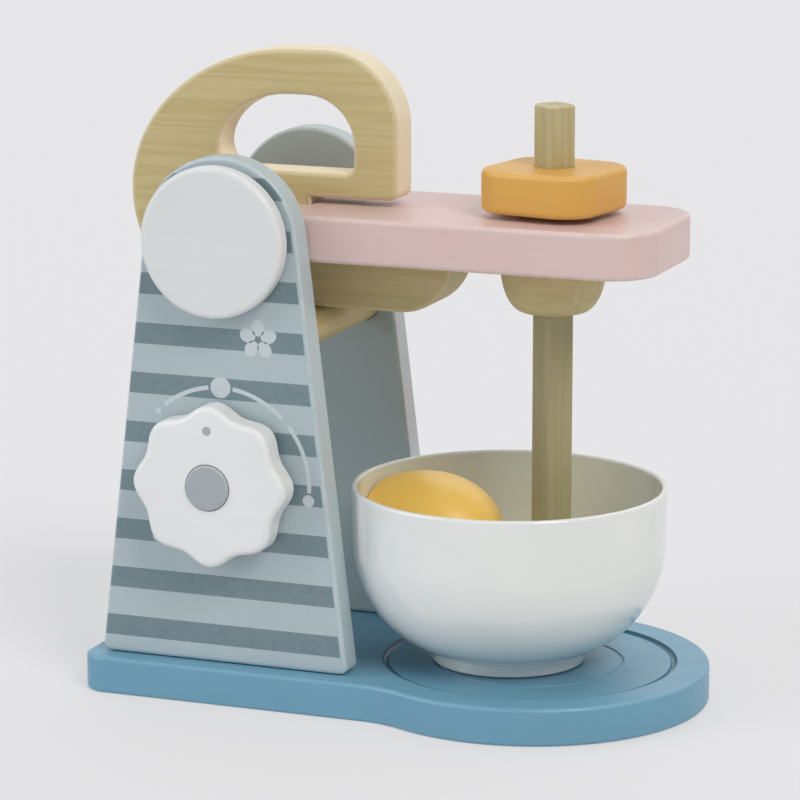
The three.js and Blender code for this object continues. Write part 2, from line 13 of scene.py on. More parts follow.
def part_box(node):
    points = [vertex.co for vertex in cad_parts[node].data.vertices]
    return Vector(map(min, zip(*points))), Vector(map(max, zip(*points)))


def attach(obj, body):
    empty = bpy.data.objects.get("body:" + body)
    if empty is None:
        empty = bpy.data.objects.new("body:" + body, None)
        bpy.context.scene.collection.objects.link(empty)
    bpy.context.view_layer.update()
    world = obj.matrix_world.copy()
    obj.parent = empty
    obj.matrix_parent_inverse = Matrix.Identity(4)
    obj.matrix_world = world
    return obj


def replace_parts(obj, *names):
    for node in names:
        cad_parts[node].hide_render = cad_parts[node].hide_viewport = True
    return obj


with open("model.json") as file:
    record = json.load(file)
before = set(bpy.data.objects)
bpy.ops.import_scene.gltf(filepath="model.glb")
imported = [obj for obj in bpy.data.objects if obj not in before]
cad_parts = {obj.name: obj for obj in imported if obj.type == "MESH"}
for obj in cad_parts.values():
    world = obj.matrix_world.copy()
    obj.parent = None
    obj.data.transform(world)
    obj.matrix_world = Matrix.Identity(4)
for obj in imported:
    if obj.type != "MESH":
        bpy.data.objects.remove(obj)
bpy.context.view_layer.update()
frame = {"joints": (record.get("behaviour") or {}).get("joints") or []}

MILLIMETRES = 1000.0
ARC_STEP = 3.0
ROUNDING_STEPS = 5
TURNED_SIDES = 144
SMALL_SIDES = 40
PIN_SIDES = 80
SAME_POINT = 0.001
SHARP_ANGLE = 38.0


def node_box(node):
    low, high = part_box(node)
    return low * MILLIMETRES, high * MILLIMETRES


def joint_place(name):
    joint = next(joint for joint in frame["joints"] if joint["name"] == name)
    return Vector(joint["pos_m"]) * MILLIMETRES


# Places that the frame gives
base_low, base_high = node_box("base_board")
far_low, far_high = node_box("far_panel")
arm_low, arm_high = node_box("arm_board")
grip_low, grip_high = node_box("hand_grip")
keel_low, keel_high = node_box("keel_block")
rail_low, rail_high = node_box("stop_rail")
bowl_low, bowl_high = node_box("bowl")
knob_low, knob_high = node_box("beater_knob")
spacer_low, spacer_high = node_box("knob_spacer")
hub_low, hub_high = node_box("beater_hub")
shaft_low, shaft_high = node_box("beater_shaft")
dial_low, dial_high = node_box("dial_knob")
pivot = joint_place("head_tilt")
dial_axis = joint_place("dial_turn")
beater_axis = joint_place("beater_spin")
dial_centre = Vector((dial_axis.x, dial_axis.z))
panel_inside = far_low.y
panel_outside = far_high.y
panel_foot = far_low.z
base_top = base_high.z
bowl_centre_x = (bowl_low.x + bowl_high.x) / 2
pivot_centre = (pivot.x, pivot.z)
rail_centre = ((rail_low.x + rail_high.x) / 2, (rail_low.z + rail_high.z) / 2)
rail_radius = (rail_high.x - rail_low.x) / 2

# Clearances
SEAT_GAP = 0.3
RUNNING_GAP = 0.4
SOFT_EDGE = 0.35

# Base board
base_end_radius = base_high.y
base_end_x = base_high.x - base_end_radius
BASE_SIDE_MARGIN = 8.5
WAIST_FILLET = 40
BASE_CORNER = 10
BASE_EDGE = 1.6
RECESS_MARGIN = 14
RECESS_DEPTH = 0.8
GROOVE_WIDTH = 2.4
GROOVE_DEPTH = 1.8
GROOVE_WEAR = 0.5
INNER_RING_INSET = 20.2
INNER_RING_WIDTH = 1.4
recess_radius = base_end_radius - RECESS_MARGIN
recess_floor = base_top - RECESS_DEPTH
inner_ring_radius = recess_radius - INNER_RING_INSET

# Side panels
PANEL_TOP_RADIUS = 32
PANEL_FOOT_HALF = 52.5
PANEL_FOOT_CORNER = 3
PANEL_EDGE = 1.5
PANEL_SCREW_INSET = 19.5
panel_rise = pivot.z - panel_foot
panel_side_angle = (degrees(atan2(panel_rise, PANEL_FOOT_HALF))
                    + degrees(asin(PANEL_TOP_RADIUS / hypot(panel_rise, PANEL_FOOT_HALF))))

# Axle, caps and washers
AXLE_RADIUS = 6
AXLE_SOCKET = 5
AXLE_CHAMFER = 0.5
CAP_RADIUS = 29.5
CAP_EDGE = 2.2
WASHER_RADIUS = 14

# Arm, grip, keel and rail
ARM_FRONT_CORNER = 20
ARM_TAIL_CORNER = 4
ARM_EDGE = 2
TONGUE_REACH = 20
GRIP_CROWN = 14
GRIP_SHOULDER = 11
GRIP_FRONT_CORNER = 30
GRIP_FOOT_GAP = 2.6
GRIP_FOOT_CORNER = 4
GRIP_EDGE = 2
GRIP_REAR_BAR = 38.4
GRIP_FRONT_BAR = 18.5
GRIP_TOP_BAR = 18.2
GRIP_FOOT_BAR = 9.9
HOLE_CROWN_SHIFT = 2.5
HOLE_REAR_RISE = 8.5
HOLE_FRONT_CORNER = 20
HOLE_FLOOR_CORNER = 4
KEEL_EDGE = 1.5
KEEL_SCREW_SETBACK = 4
KEEL_SCREW_SPACING = 20
RAIL_SOCKET = 5
RAIL_CHAMFER = 0.8

# Beater
SHAFT_REST_TURN = -37
KNOB_REST_TURN = -10
SHAFT_WIDTH = 12.4
SHAFT_CORNER = 2.2
SHAFT_EDGE = 1.2
KNOB_WIDTH = 48.6
KNOB_CORNER = 14
KNOB_EDGE = 2.4
SPACER_RADIUS = 14
HUB_TOP_RADIUS = 20.5
HUB_FOOT_RADIUS = 11
HUB_COLLAR = 1.5

# Dial and its parts
DIAL_RADIUS = 30.5
DIAL_LOBES = 8
DIAL_LOBE_DEPTH = 1.6
DIAL_STEPS = 320
DIAL_EDGE = 2.4
BUTTON_RADIUS = 9
BUTTON_THICKNESS = 2.4
BUTTON_PROUD = 1
BUTTON_RIM_WEAR = 0.3
BUTTON_SOCKET = (1.0, 0.1)
PIN_RADIUS = 4
PIN_SOCKET = 6
RETAINER_RADIUS = 10
RETAINER_EDGE = 1

# Bowl
BOWL_WALL = 2.4
BOWL_FLOOR_LIFT = 2.5
BOWL_SHOULDER_RADIUS = 45
BOWL_DRAFT = 0.6
BOWL_FOOT_RADIUS = 30.3
BOWL_FOOT_WALL = 3
BOWL_FOOT_HEIGHT = 3.4
BOWL_FOOT_EDGE = 0.8
bowl_rim_radius = bowl_high.y
bowl_underside = bowl_low.z + BOWL_FLOOR_LIFT
bowl_shoulder_z = bowl_underside + BOWL_SHOULDER_RADIUS
bowl_shoulder_x = bowl_rim_radius - BOWL_DRAFT - BOWL_SHOULDER_RADIUS

# Egg half
EGG_RADIUS = 30
EGG_HEIGHT = 43
EGG_EDGE = 1.5
EGG_LEAN = 68
EGG_TURN = -15

# Screws
SCREW_RADIUS = 1.9
SCREW_HEAD_RADIUS = 3.9
SCREW_HEAD_DEPTH = 2.4
SCREW_TIP = 4
SCREW_TIP_RADIUS = 0.3
SCREW_SINK = 0.6
CROSS_REACH = 2.3
CROSS_WIDTH = 0.9
CROSS_DEPTH = 1.5
CROSS_TAPER = 0.55

# Prints on the near panel
PRINT_PROUD = 0.05
PRINT_SUNK = 0.1
STRIPE_PITCH = 19.8
STRIPE_HEIGHT = 8.4
FIRST_STRIPE_FOOT = 22.3
STRIPE_END_MARGIN = 1.9
INK_BLEED = 0.12
INK_FADE = (0.1, 0.5)
TRACK_RADIUS = 37
TRACK_WIDTH = 1.7
TRACK_STRETCHES = [(-3, 40), (46, 82), (98, 130)]
TRACK_DOTS = [(90, 4.2), (-8, 2.4), (222, 2.2), (136, 1.3)]
BLOSSOM_PLACE = (16, 146)
BLOSSOM_PETALS = 5
PETAL_REACH = 4.6
PETAL_SIZE = (3.3, 2.7)
POINTER_INSET = 8
POINTER_RADIUS = 1.8


# Points along an arc, both ends included, with angles in degrees. The radius may be a pair.
def arc(centre, radius, start, end):
    across, up = radius if isinstance(radius, tuple) else (radius, radius)
    count = max(2, ceil(abs(end - start) / ARC_STEP))
    turns = [radians(start + (end - start) * i / count) for i in range(count + 1)]
    return [Vector((centre[0] + across * cos(t), centre[1] + up * sin(t))) for t in turns]


def circle(centre, radius, sides=SMALL_SIDES):
    turns = [2 * pi * i / sides for i in range(sides)]
    return [Vector((centre[0] + radius * cos(t), centre[1] + radius * sin(t))) for t in turns]


# An outline from its stretches, with no point given twice where two of them meet.
def outline(*stretches):
    points = []
    for point in [Vector(point) for stretch in stretches for point in stretch]:
        if not points or (point - points[-1]).length > SAME_POINT:
            points.append(point)
    if (points[0] - points[-1]).length < SAME_POINT:
        points.pop()
    return points


def rounded_rectangle(half_length, half_width, corner):
    x = half_length - corner
    y = half_width - corner
    return outline(arc((x, -y), corner, -90, 0), arc((x, y), corner, 0, 90),
                   arc((-x, y), corner, 90, 180), arc((-x, -y), corner, 180, 270))


# Shifts a closed outline to the left of its travel.
def inset(points, distance):
    moved = []
    for before, point, after in zip(points[-1:] + points[:-1], points, points[1:] + points[:1]):
        coming = (point - before).normalized()
        going = (after - point).normalized()
        left = Vector((-coming.y - going.y, coming.x + going.x))
        moved.append(point + left * distance / (1 + coming.dot(going)))
    return moved


# Rings up a wall between two faces, each edge rounded. A ring is (outline, height, share of edge wear).
def rounded_wall(points, low, high, edge):
    quarter = [pi / 2 * i / ROUNDING_STEPS for i in range(ROUNDING_STEPS + 1)]
    foot = [(inset(points, edge * (1 - sin(t))), low + edge * (1 - cos(t)), sin(2 * t))
            for t in quarter]
    head = [(ring, low + high - height, wear) for ring, height, wear in reversed(foot)]
    return foot + head


def through_hole(points, low, high, edge=SOFT_EDGE):
    return rounded_wall(list(reversed(points)), low, high, edge)


# A turned piece's profile is a list of (radius, height, share of edge wear).
def plain(*points):
    return [(radius, height, 0.0) for radius, height in points]


def round_over(centre, radius, start, end):
    points = arc(centre, radius, start, end)
    last = len(points) - 1
    return [(point.x, point.y, sin(pi * i / last)) for i, point in enumerate(points)]


# A piece's points and faces as they are drawn. Upright pieces are drawn in X and Z, and rise along Y.
class Piece:
    def __init__(self, upright=False):
        self.upright = upright
        self.points = []
        self.wear = []
        self.faces = []

    def point(self, u, v, height, wear=0.0):
        self.points.append(Vector((u, height, v)) if self.upright else Vector((u, v, height)))
        self.wear.append(wear)
        return len(self.points) - 1

    def ring(self, points, height, wear=0.0):
        return [self.point(point[0], point[1], height, wear) for point in points]

    def walls(self, rings):
        drawn = [self.ring(*ring) for ring in rings]
        for low, high in zip(drawn, drawn[1:]):
            self.join_rings(low, high)
        return drawn[0], drawn[-1]

    def join_rings(self, low, high):
        for i in range(len(low)):
            j = (i + 1) % len(low)
            self.faces.append((low[i], low[j], high[j], high[i]))

    def cap(self, *rings):
        flat = [index for ring in rings for index in ring]
        for triangle in tessellate_polygon([[self.points[index] for index in ring] for ring in rings]):
            self.faces.append(tuple(flat[corner] for corner in triangle))

    # Turns a profile about an upright line. A radius of zero closes it to a point.
    def turn(self, profile, centre, sides, closed=False):
        drawn = []
        for radius, height, wear in profile:
            if radius < SAME_POINT:
                drawn.append([self.point(centre[0], centre[1], height, wear)])
            else:
                drawn.append(self.ring(circle(centre, radius, sides), height, wear))
        for low, high in zip(drawn, drawn[1:] + (drawn[:1] if closed else [])):
            if len(low) == 1 or len(high) == 1:
                tip, rim = (low[0], high) if len(low) == 1 else (high[0], low)
                self.faces.extend((rim[i], rim[(i + 1) % len(rim)], tip) for i in range(len(rim)))
            else:
                self.join_rings(low, high)

    # Makes the mesh, in metres, with its faces pointing out and its edge wear as an attribute.
    def mesh(self, name, placed=Matrix.Identity(4)):
        made = bpy.data.meshes.new(name)
        made.from_pydata([(placed @ point) / MILLIMETRES for point in self.points], [], self.faces)
        wear = made.attributes.new("edge_wear", "FLOAT", "POINT")
        wear.data.foreach_set("value", self.wear)
        worked = bmesh.new()
        worked.from_mesh(made)
        bmesh.ops.recalc_face_normals(worked, faces=worked.faces)
        worked.to_mesh(made)
        worked.free()
        return made


# A board: outer rings, holes that go through, and wells sunk from either face, each as rings.
def board(outer, holes=(), low_wells=(), high_wells=(), upright=False):
    piece = Piece(upright)
    low_rings, high_rings = [], []
    for rings in [outer, *holes]:
        low, high = piece.walls(rings)
        low_rings.append(low)
        high_rings.append(high)
    for wells, cap_rings in [(low_wells, low_rings), (high_wells, high_rings)]:
        for rings in wells:
            mouth, floor = piece.walls(rings)
            cap_rings.append(mouth)
            piece.cap(floor)
    piece.cap(*low_rings)
    piece.cap(*high_rings)
    return piece


def turned(profile, centre=(0, 0), upright=False, sides=TURNED_SIDES, closed=False):
    piece = Piece(upright)
    piece.turn(profile, centre, sides, closed)
    return piece


def turned_across(profile, centre=pivot_centre, sides=PIN_SIDES, closed=False):
    return turned(profile, centre, True, sides, closed)


# A finish is a material, its slot in the record, and the word that ends the names of its pieces.
Finish = namedtuple("Finish", "material slot word")


def linked(name, data):
    made = bpy.data.objects.new(name, data)
    bpy.context.scene.collection.objects.link(made)
    return made


# Puts a mesh in the scene with its finish, on its body.
def dressed(mesh, body, finish):
    made = linked(mesh.name, mesh)
    mesh.materials.append(finish.material)
    mesh.shade_smooth()
    mesh.set_sharp_from_angle(angle=radians(SHARP_ANGLE))
    made.modifiers.new("even_shading", "WEIGHTED_NORMAL").keep_sharp = True
    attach(made, body)
    return made


# Installs a piece, with any bores cut across it, in place of the plain solid that it stands for.
def install(node, piece, body, finish, cutters=(), placed=Matrix.Identity(4)):
    mesh = piece.mesh(f"{node}_{finish.word}", placed)
    if cutters:
        mesh = drilled(mesh, cutters)
    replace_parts(dressed(mesh, body, finish), node)


def drilled(mesh, cutters):
    name = mesh.name
    worked = linked("worked", mesh)
    tools = [linked("tool", cutter.mesh("tool")) for cutter in cutters]
    for tool in tools:
        cut = worked.modifiers.new("cut", "BOOLEAN")
        cut.operation = "DIFFERENCE"
        cut.solver = "EXACT"
        cut.object = tool
    evaluated = worked.evaluated_get(bpy.context.evaluated_depsgraph_get())
    cut_mesh = bpy.data.meshes.new_from_object(evaluated)
    for made in [worked, *tools]:
        spent = made.data
        bpy.data.objects.remove(made)
        bpy.data.meshes.remove(spent)
    cut_mesh.name = name
    return cut_mesh


# Turns an sRGB hex colour into the linear one that a shader takes.
def linear(colour):
    channels = [int(colour[i:i + 2], 16) / 255 for i in (1, 3, 5)]
    return [c / 12.92 if c <= 0.04045 else ((c + 0.055) / 1.055) ** 2.4 for c in channels] + [1.0]


# Adds a shader node with its settings and links, and returns its first output in use, or the one
# that is named. Inputs go in order or by name: a number, a hex colour, or a socket to link.
def add(tree, kind, inputs=(), output=None, **settings):
    made = tree.nodes.new("ShaderNode" + kind)
    for setting, value in settings.items():
        setattr(made, setting, value)
    in_use = [socket for socket in made.inputs if socket.enabled]
    for key, value in inputs.items() if isinstance(inputs, dict) else enumerate(inputs):
        socket = made.inputs[key] if isinstance(key, str) else in_use[key]
        if isinstance(value, bpy.types.NodeSocket):
            tree.links.new(value, socket)
        else:
            socket.default_value = linear(value) if isinstance(value, str) else value
    if output:
        return made.outputs[output]
    return next((socket for socket in made.outputs if socket.enabled), None)


# Starts a material: its node tree, and its places in millimetres.
def started(name):
    material = bpy.data.materials.new(name)
    material.use_nodes = True
    tree = material.node_tree
    tree.nodes.clear()
    place = add(tree, "TexCoord", output="Object")
    return material, tree, add(tree, "VectorMath", (place, MILLIMETRES), operation="SCALE")


def finished(material, looks):
    shader = add(material.node_tree, "BsdfPrincipled", looks)
    add(material.node_tree, "OutputMaterial", (shader,))
    return material


# A cloudy pattern whose lumps measure the given millimetres along X, Y and Z. Most of its values lie
# in one span, and they are spread over another where that is given.
CLOUD_SPAN = (0.3, 0.7)


def clouds(tree, place, lump, detail=2.0, roughness=0.5, over=None):
    size = lump if isinstance(lump, tuple) else (lump, lump, lump)
    shrunk = add(tree, "VectorMath", (place, tuple(1 / length for length in size)), operation="MULTIPLY")
    cloud = add(tree, "TexNoise",
                {"Vector": shrunk, "Scale": 1.0, "Detail": detail, "Roughness": roughness})
    return add(tree, "MapRange", (cloud, *CLOUD_SPAN, *over)) if over else cloud


# Lump sizes for wood grain that runs along X, Y or Z.
def along(axis, length, width):
    return tuple(length if name == axis else width for name in "XYZ")


# Where a colour turns paler: on edges, by their wear, where a coat is thin, and on the narrow faces
# around an upright board, which are painted paler as painted light.
def worn_edges_and_lit_sides(tree, edge_share, side_share):
    wear = add(tree, "Attribute", output="Fac", attribute_name="edge_wear")
    worn = add(tree, "Math", (wear, edge_share), operation="MULTIPLY")
    facing = add(tree, "SeparateXYZ", (add(tree, "TexCoord", output="Normal"),), output="Y")
    broad = add(tree, "Math", (facing,), operation="ABSOLUTE")
    lit_narrow_faces = add(tree, "MapRange", (broad, 0.25, 0.9, side_share, 0.0))
    return add(tree, "Math", (worn, lit_narrow_faces), operation="MAXIMUM")


# Water-based paint sprayed on sanded beech. It reads as an even satin coat with a trace of orange
# peel, the grain just telegraphing through, and a thinner, paler coat where edges were sanded. The
# narrow faces of a board may be painted paler too, as painted light.
PAINT_PEEL = 1.1
PAINT_GRAIN = (38.0, 1.6)
PAINT_CLOUD = 55.0
PAINT_SHEEN = 14.0
EDGE_PATCH = 5.0
EDGE_WEAR = (0.15, 0.6)
PEEL_HEIGHT = 0.012
GRAIN_HEIGHT = 0.05


# A second tone is laid on where a function gives it a share: printed bands on one board, painted shade and
# painted light on others.
def sprayed_beech(name, coat, deep_coat, worn_and_lit_tone, grain="X", roughness=0.36, side_share=0.0,
                  second_tone=None, second_share=None):
    material, tree, place = started(name)
    fibres = clouds(tree, place, along(grain, *PAINT_GRAIN), 3.0, 0.6)
    cloud = clouds(tree, place, PAINT_CLOUD, 3.0, over=(0.0, 0.7))
    in_grain = add(tree, "MapRange", (fibres, 0.35, 0.75, 0.0, 0.3))
    depth = add(tree, "Math", (cloud, in_grain), operation="ADD")
    colour = add(tree, "Mix", (depth, coat, deep_coat), data_type="RGBA")
    patches = clouds(tree, place, EDGE_PATCH, 4.0, 0.65)
    pale = worn_edges_and_lit_sides(tree, add(tree, "MapRange", (patches, 0.4, 0.62, *EDGE_WEAR)), side_share)
    colour = add(tree, "Mix", (pale, colour, worn_and_lit_tone), data_type="RGBA")
    if second_share:
        colour = add(tree, "Mix", (second_share(tree, place), colour, second_tone), data_type="RGBA")
    grained = add(tree, "Bump", {"Height": fibres, "Distance": GRAIN_HEIGHT / MILLIMETRES})
    peel = {"Height": clouds(tree, place, PAINT_PEEL, 1.0), "Distance": PEEL_HEIGHT / MILLIMETRES}
    return finished(material, {
        "Base Color": colour,
        "Roughness": clouds(tree, place, PAINT_SHEEN, 3.0, over=(roughness - 0.05, roughness + 0.06)),
        "Normal": add(tree, "Bump", {"Normal": grained, **peel}),
        "IOR": 1.5})


# Beech under clear matt lacquer: pale straw wood, close and even, with faint growth figure along the
# board, fine pores, and the short darker flecks that tell beech from pine. Flecks are drawn a little
# coarse, as real ones of 0.2 mm would not show from a step away. Worn edges are sanded paler,
# narrow faces may be painted paler as painted light, and below a given level the wood is painted
# darker as painted shade.
RING_SPACING = (170.0, 9.0)
RING_COUNT = 6.0
FLECK_SIZE = (3.2, 0.5)
PORE_SIZE = (9.0, 0.4)
PORE_DEPTH = 0.03
SANDED_EDGE = 0.35
ARM_SHADE_TONE = "#928866"
ARM_SHADE_SHARE = 0.5
ARM_SHADE_FADE = 1.0


def lacquered_beech(name, grain, early="#CCBB89", late="#C2B07B", fleck="#B09965", edge="#EFE1C2",
                    sawn_share=0.0, dip_level=None):
    material, tree, place = started(name)
    figure = clouds(tree, place, along(grain, *RING_SPACING), 1.5, 0.45)
    drawn_out = add(tree, "Math", (figure, RING_COUNT), operation="MULTIPLY")
    rings = add(tree, "Math", (drawn_out, 0.5), operation="PINGPONG")
    in_late = add(tree, "MapRange", (rings, 0.05, 0.48, 0.0, 1.0))
    colour = add(tree, "Mix", (in_late, early, late), data_type="RGBA")
    flecks = clouds(tree, place, along(grain, *FLECK_SIZE), 1.0)
    in_flecks = add(tree, "MapRange", (flecks, 0.62, 0.76, 0.0, 0.4))
    colour = add(tree, "Mix", (in_flecks, colour, fleck), data_type="RGBA")
    pores = clouds(tree, place, along(grain, *PORE_SIZE), 2.0, 0.6)
    in_pores = add(tree, "MapRange", (pores, 0.5, 0.8, 0.0, 0.35))
    colour = add(tree, "Mix", (in_pores, colour, late), data_type="RGBA")
    # Painted shade: below the level the wood is painted darker.
    if dip_level is not None:
        height = add(tree, "SeparateXYZ", (place,), output="Z")
        under_arm_shade = add(tree, "MapRange", (height, dip_level - ARM_SHADE_FADE, dip_level + ARM_SHADE_FADE, ARM_SHADE_SHARE, 0.0))
        colour = add(tree, "Mix", (under_arm_shade, colour, ARM_SHADE_TONE), data_type="RGBA")
    sanded_and_side_lit = worn_edges_and_lit_sides(tree, SANDED_EDGE, sawn_share)
    return finished(material, {
        "Base Color": add(tree, "Mix", (sanded_and_side_lit, colour, edge), data_type="RGBA"),
        "Roughness": add(tree, "MapRange", (pores, *CLOUD_SPAN, 0.48, 0.6)),
        "Normal": add(tree, "Bump", {"Height": pores, "Distance": PORE_DEPTH / MILLIMETRES}),
        "IOR": 1.48})


# The base's sky blue. The turned groove is painted darker, as painted shade, so the ring reads from
# the front too, and the recess inside it is painted a shade deeper than the deck around it, as painted
# shade.
GROOVE_SHADE_FADE = 0.6
GROOVE_SHADE_SHARE = 0.85
RECESS_SHADE_SHARE = 0.2


def painted_groove_shade(tree, place):
    x, y, z = add(tree, "SeparateXYZ", (place,)).node.outputs
    level = add(tree, "CombineXYZ", (x, y))
    reach = add(tree, "VectorMath", (level, (base_end_x, 0.0, 0.0)), operation="DISTANCE")
    past_groove = add(tree, "Math", (reach, recess_radius), operation="SUBTRACT")
    off_groove = add(tree, "Math", (past_groove,), operation="ABSOLUTE")
    half = GROOVE_WIDTH / 2
    in_groove = add(tree, "MapRange", (off_groove, half, half + GROOVE_SHADE_FADE, GROOVE_SHADE_SHARE, 0.0))
    recessed = add(tree, "MapRange",
                   (reach, recess_radius - GROOVE_WIDTH, recess_radius, RECESS_SHADE_SHARE, 0.0))
    groove_shade = add(tree, "Math", (in_groove, recessed), operation="MAXIMUM")
    on_top = add(tree, "MapRange", (z, recess_floor - GROOVE_DEPTH, recess_floor - GROOVE_WIDTH, 1.0, 0.0))
    return add(tree, "Math", (groove_shade, on_top), operation="MULTIPLY")


# The far panel's tones are a touch deeper than the near one's, as painted shade for its inner face,
# and its front edge is painted pale, as painted light, so that it parts from the panel's inner face.
def painted_front_light(tree, _):
    forward = add(tree, "SeparateXYZ", (add(tree, "TexCoord", output="Normal"),), output="X")
    return add(tree, "MapRange", (forward, 0.8, 0.97, 0.0, 1.0))


# Silk-screened bands on the near panel: a darker slate ink in level stripes that run off the rear
# edge and stop square just short of the slanted front edge.
SCREEN_WEAVE = 2.5


def banded(tree, place):
    x, y, z = add(tree, "SeparateXYZ", (place,)).node.outputs
    half = STRIPE_HEIGHT / 2
    level = add(tree, "Math", (z, FIRST_STRIPE_FOOT + half), operation="SUBTRACT")
    off_centre = add(tree, "Math", (level, STRIPE_PITCH / 2), operation="PINGPONG")
    slope = 1 / tan(radians(panel_side_angle))
    foot_end = pivot.x + PANEL_FOOT_HALF + panel_foot * slope - STRIPE_END_MARGIN
    set_back = add(tree, "Math", (z, slope), operation="MULTIPLY")
    stripe_end = add(tree, "Math", (foot_end, set_back), operation="SUBTRACT")
    before_end = add(tree, "Math", (stripe_end, x), operation="SUBTRACT")
    ink = clouds(tree, place, SCREEN_WEAVE, 4.0, 0.7, over=(0.88, 1.0))
    for limit in [
            (off_centre, half - INK_BLEED, half + INK_BLEED, 1.0, 0.0),
            (before_end, -INK_BLEED, INK_BLEED, 0.0, 1.0),
            (y, INK_FADE[0] - panel_outside, INK_FADE[1] - panel_outside, 1.0, 0.0),
            (z, FIRST_STRIPE_FOOT - STRIPE_HEIGHT, FIRST_STRIPE_FOOT - 1.0, 0.0, 1.0)]:
        ink = add(tree, "Math", (ink, add(tree, "MapRange", limit)), operation="MULTIPLY")
    return ink


# Pale silk-screen ink: flat and slightly chalky, with pinholes from the mesh.
PINHOLE = 0.9


def pale_ink():
    material, tree, place = started("pale_screen_ink")
    holes = add(tree, "MapRange", (clouds(tree, place, PINHOLE, 3.0, 0.7), 0.62, 0.7, 0.0, 0.5))
    return finished(material, {
        "Base Color": add(tree, "Mix", (holes, "#C9D3D6", "#A9B9C0"), data_type="RGBA"),
        "Roughness": 0.62})


# Melamine bowl, compression moulded: hard, dense white with a wet gloss and a faint swirl of flow.
# Its inside is painted a touch greyer than its outside, as painted shade.
MELAMINE_SWIRL = 30.0
MELAMINE_SHEEN = 8.0
MELAMINE_RIPPLE = 6.0
RIPPLE_HEIGHT = 0.02
RIM_BLEND = 5.0


def white_melamine():
    material, tree, place = started("white_melamine")
    swirl = clouds(tree, place, MELAMINE_SWIRL, 3.0, over=(0.0, 1.0))
    outside = add(tree, "Mix", (swirl, "#ECEEEA", "#E7EAE6"), data_type="RGBA")
    # Painted shade: faces that look into the bowl take the greyer inside tone.
    to_mouth = add(tree, "VectorMath", ((bowl_centre_x, 0.0, bowl_high.z), place), operation="SUBTRACT")
    outward = add(tree, "TexCoord", output="Normal")
    facing_in = add(tree, "VectorMath", (outward, to_mouth), operation="DOT_PRODUCT")
    inside = add(tree, "MapRange", (facing_in, 0.0, RIM_BLEND, 0.0, 1.0))
    ripple = clouds(tree, place, MELAMINE_RIPPLE)
    return finished(material, {
        "Base Color": add(tree, "Mix", (inside, outside, "#DFE4DC"), data_type="RGBA"),
        "Roughness": clouds(tree, place, MELAMINE_SHEEN, 4.0, 0.6, over=(0.14, 0.22)),
        "Normal": add(tree, "Bump", {"Height": ripple, "Distance": RIPPLE_HEIGHT / MILLIMETRES}),
        "IOR": 1.58, "Coat Weight": 0.35, "Coat Roughness": 0.05})


# Nitrocellulose lacquer on a turned egg: saturated yolk yellow with a broad soft shine, and faint
# marks of the lathe.
LACQUER_CLOUD = 18.0
LACQUER_SHEEN = 5.0
LATHE_MARK = 2.2
LATHE_MARK_HEIGHT = 0.015


def yellow_gloss_lacquer():
    material, tree, place = started("yellow_gloss_lacquer")
    cloud = clouds(tree, place, LACQUER_CLOUD, 3.0, over=(0.0, 1.0))
    marks = clouds(tree, place, LATHE_MARK)
    return finished(material, {
        "Base Color": add(tree, "Mix", (cloud, "#FDD369", "#FAC95A"), data_type="RGBA"),
        "Roughness": clouds(tree, place, LACQUER_SHEEN, 3.0, over=(0.38, 0.48)),
        "Normal": add(tree, "Bump", {"Height": marks, "Distance": LATHE_MARK_HEIGHT / MILLIMETRES}),
        "IOR": 1.46, "Coat Weight": 0.12, "Coat Roughness": 0.2})


# Zinc plate on a steel screw: cool bright metal, slightly cloudy from tumbling.
ZINC_CLOUD = 1.4


def zinc_plate():
    material, tree, place = started("zinc_plate")
    cloud = clouds(tree, place, ZINC_CLOUD, 3.0, over=(0.0, 1.0))
    return finished(material, {
        "Base Color": add(tree, "Mix", (cloud, "#C9CDD1", "#AEB3B8"), data_type="RGBA"),
        "Roughness": add(tree, "MapRange", (cloud, 0.0, 1.0, 0.28, 0.42)),
        "Metallic": 1.0})


# Pressed fibre: dull grey-brown with a felt of short fibres.
FELT_FIBRE = (2.0, 0.4, 0.6)
FELT_HEIGHT = 0.08


def pressed_fibre():
    material, tree, place = started("pressed_fibre")
    felt = clouds(tree, place, FELT_FIBRE, 3.0, over=(0.0, 1.0))
    return finished(material, {
        "Base Color": add(tree, "Mix", (felt, "#9A8B72", "#7D705A"), data_type="RGBA"),
        "Normal": add(tree, "Bump", {"Height": felt, "Distance": FELT_HEIGHT / MILLIMETRES}),
        "Roughness": 0.9})


def paint(slot, *tones, **settings):
    return Finish(sprayed_beech(*tones, **settings), slot, "painted")


def bare_wood(*tones, **settings):
    return Finish(lacquered_beech(*tones, **settings), "bare_wood", "lacquered")


# Painted light: the share by which the panels' narrow faces are painted paler.
PANEL_SIDE_LIGHT = 0.3
# Painted shade: the base's groove and recess are darkened by the second tone.
sky_blue = paint("blue_paint", "sky_blue_sprayed_beech_shade_painted_in_groove", "#71A4BC", "#6A9DB6", "#7DAEC4",
                 second_tone="#4B7B93", second_share=painted_groove_shade)
# Painted shade and light: the far panel's tones are deeper for its shaded inner face, and its front edge is
# painted pale.
grey_blue = paint("panel_paint", "grey_blue_sprayed_board", "#AFBBBA", "#A8B4B4", "#C5CFCF", "Z",
                  side_share=PANEL_SIDE_LIGHT, second_tone="#DBDFDF", second_share=painted_front_light)
slate_bands = paint("panel_paint", "grey_blue_sprayed_board_with_slate_bands", "#B6C5C9", "#AEBDC2",
                    "#CEDADC", "Z", side_share=PANEL_SIDE_LIGHT, second_tone="#6F858B", second_share=banded)
satin_white = paint("white_paint", "satin_white_sprayed_beech", "#ECEEEC", "#E6E8E7", "#F2F3F1",
                    roughness=0.4)
chalk_white = paint("white_paint", "chalk_white_sprayed_beech", "#E2E4E3", "#DCDFDE", "#ECEDEB",
                    roughness=0.44)
dusty_pink = paint("pink_paint", "dusty_pink_sprayed_beech", "#DFC5BF", "#D9BCB7", "#E8D4CD")
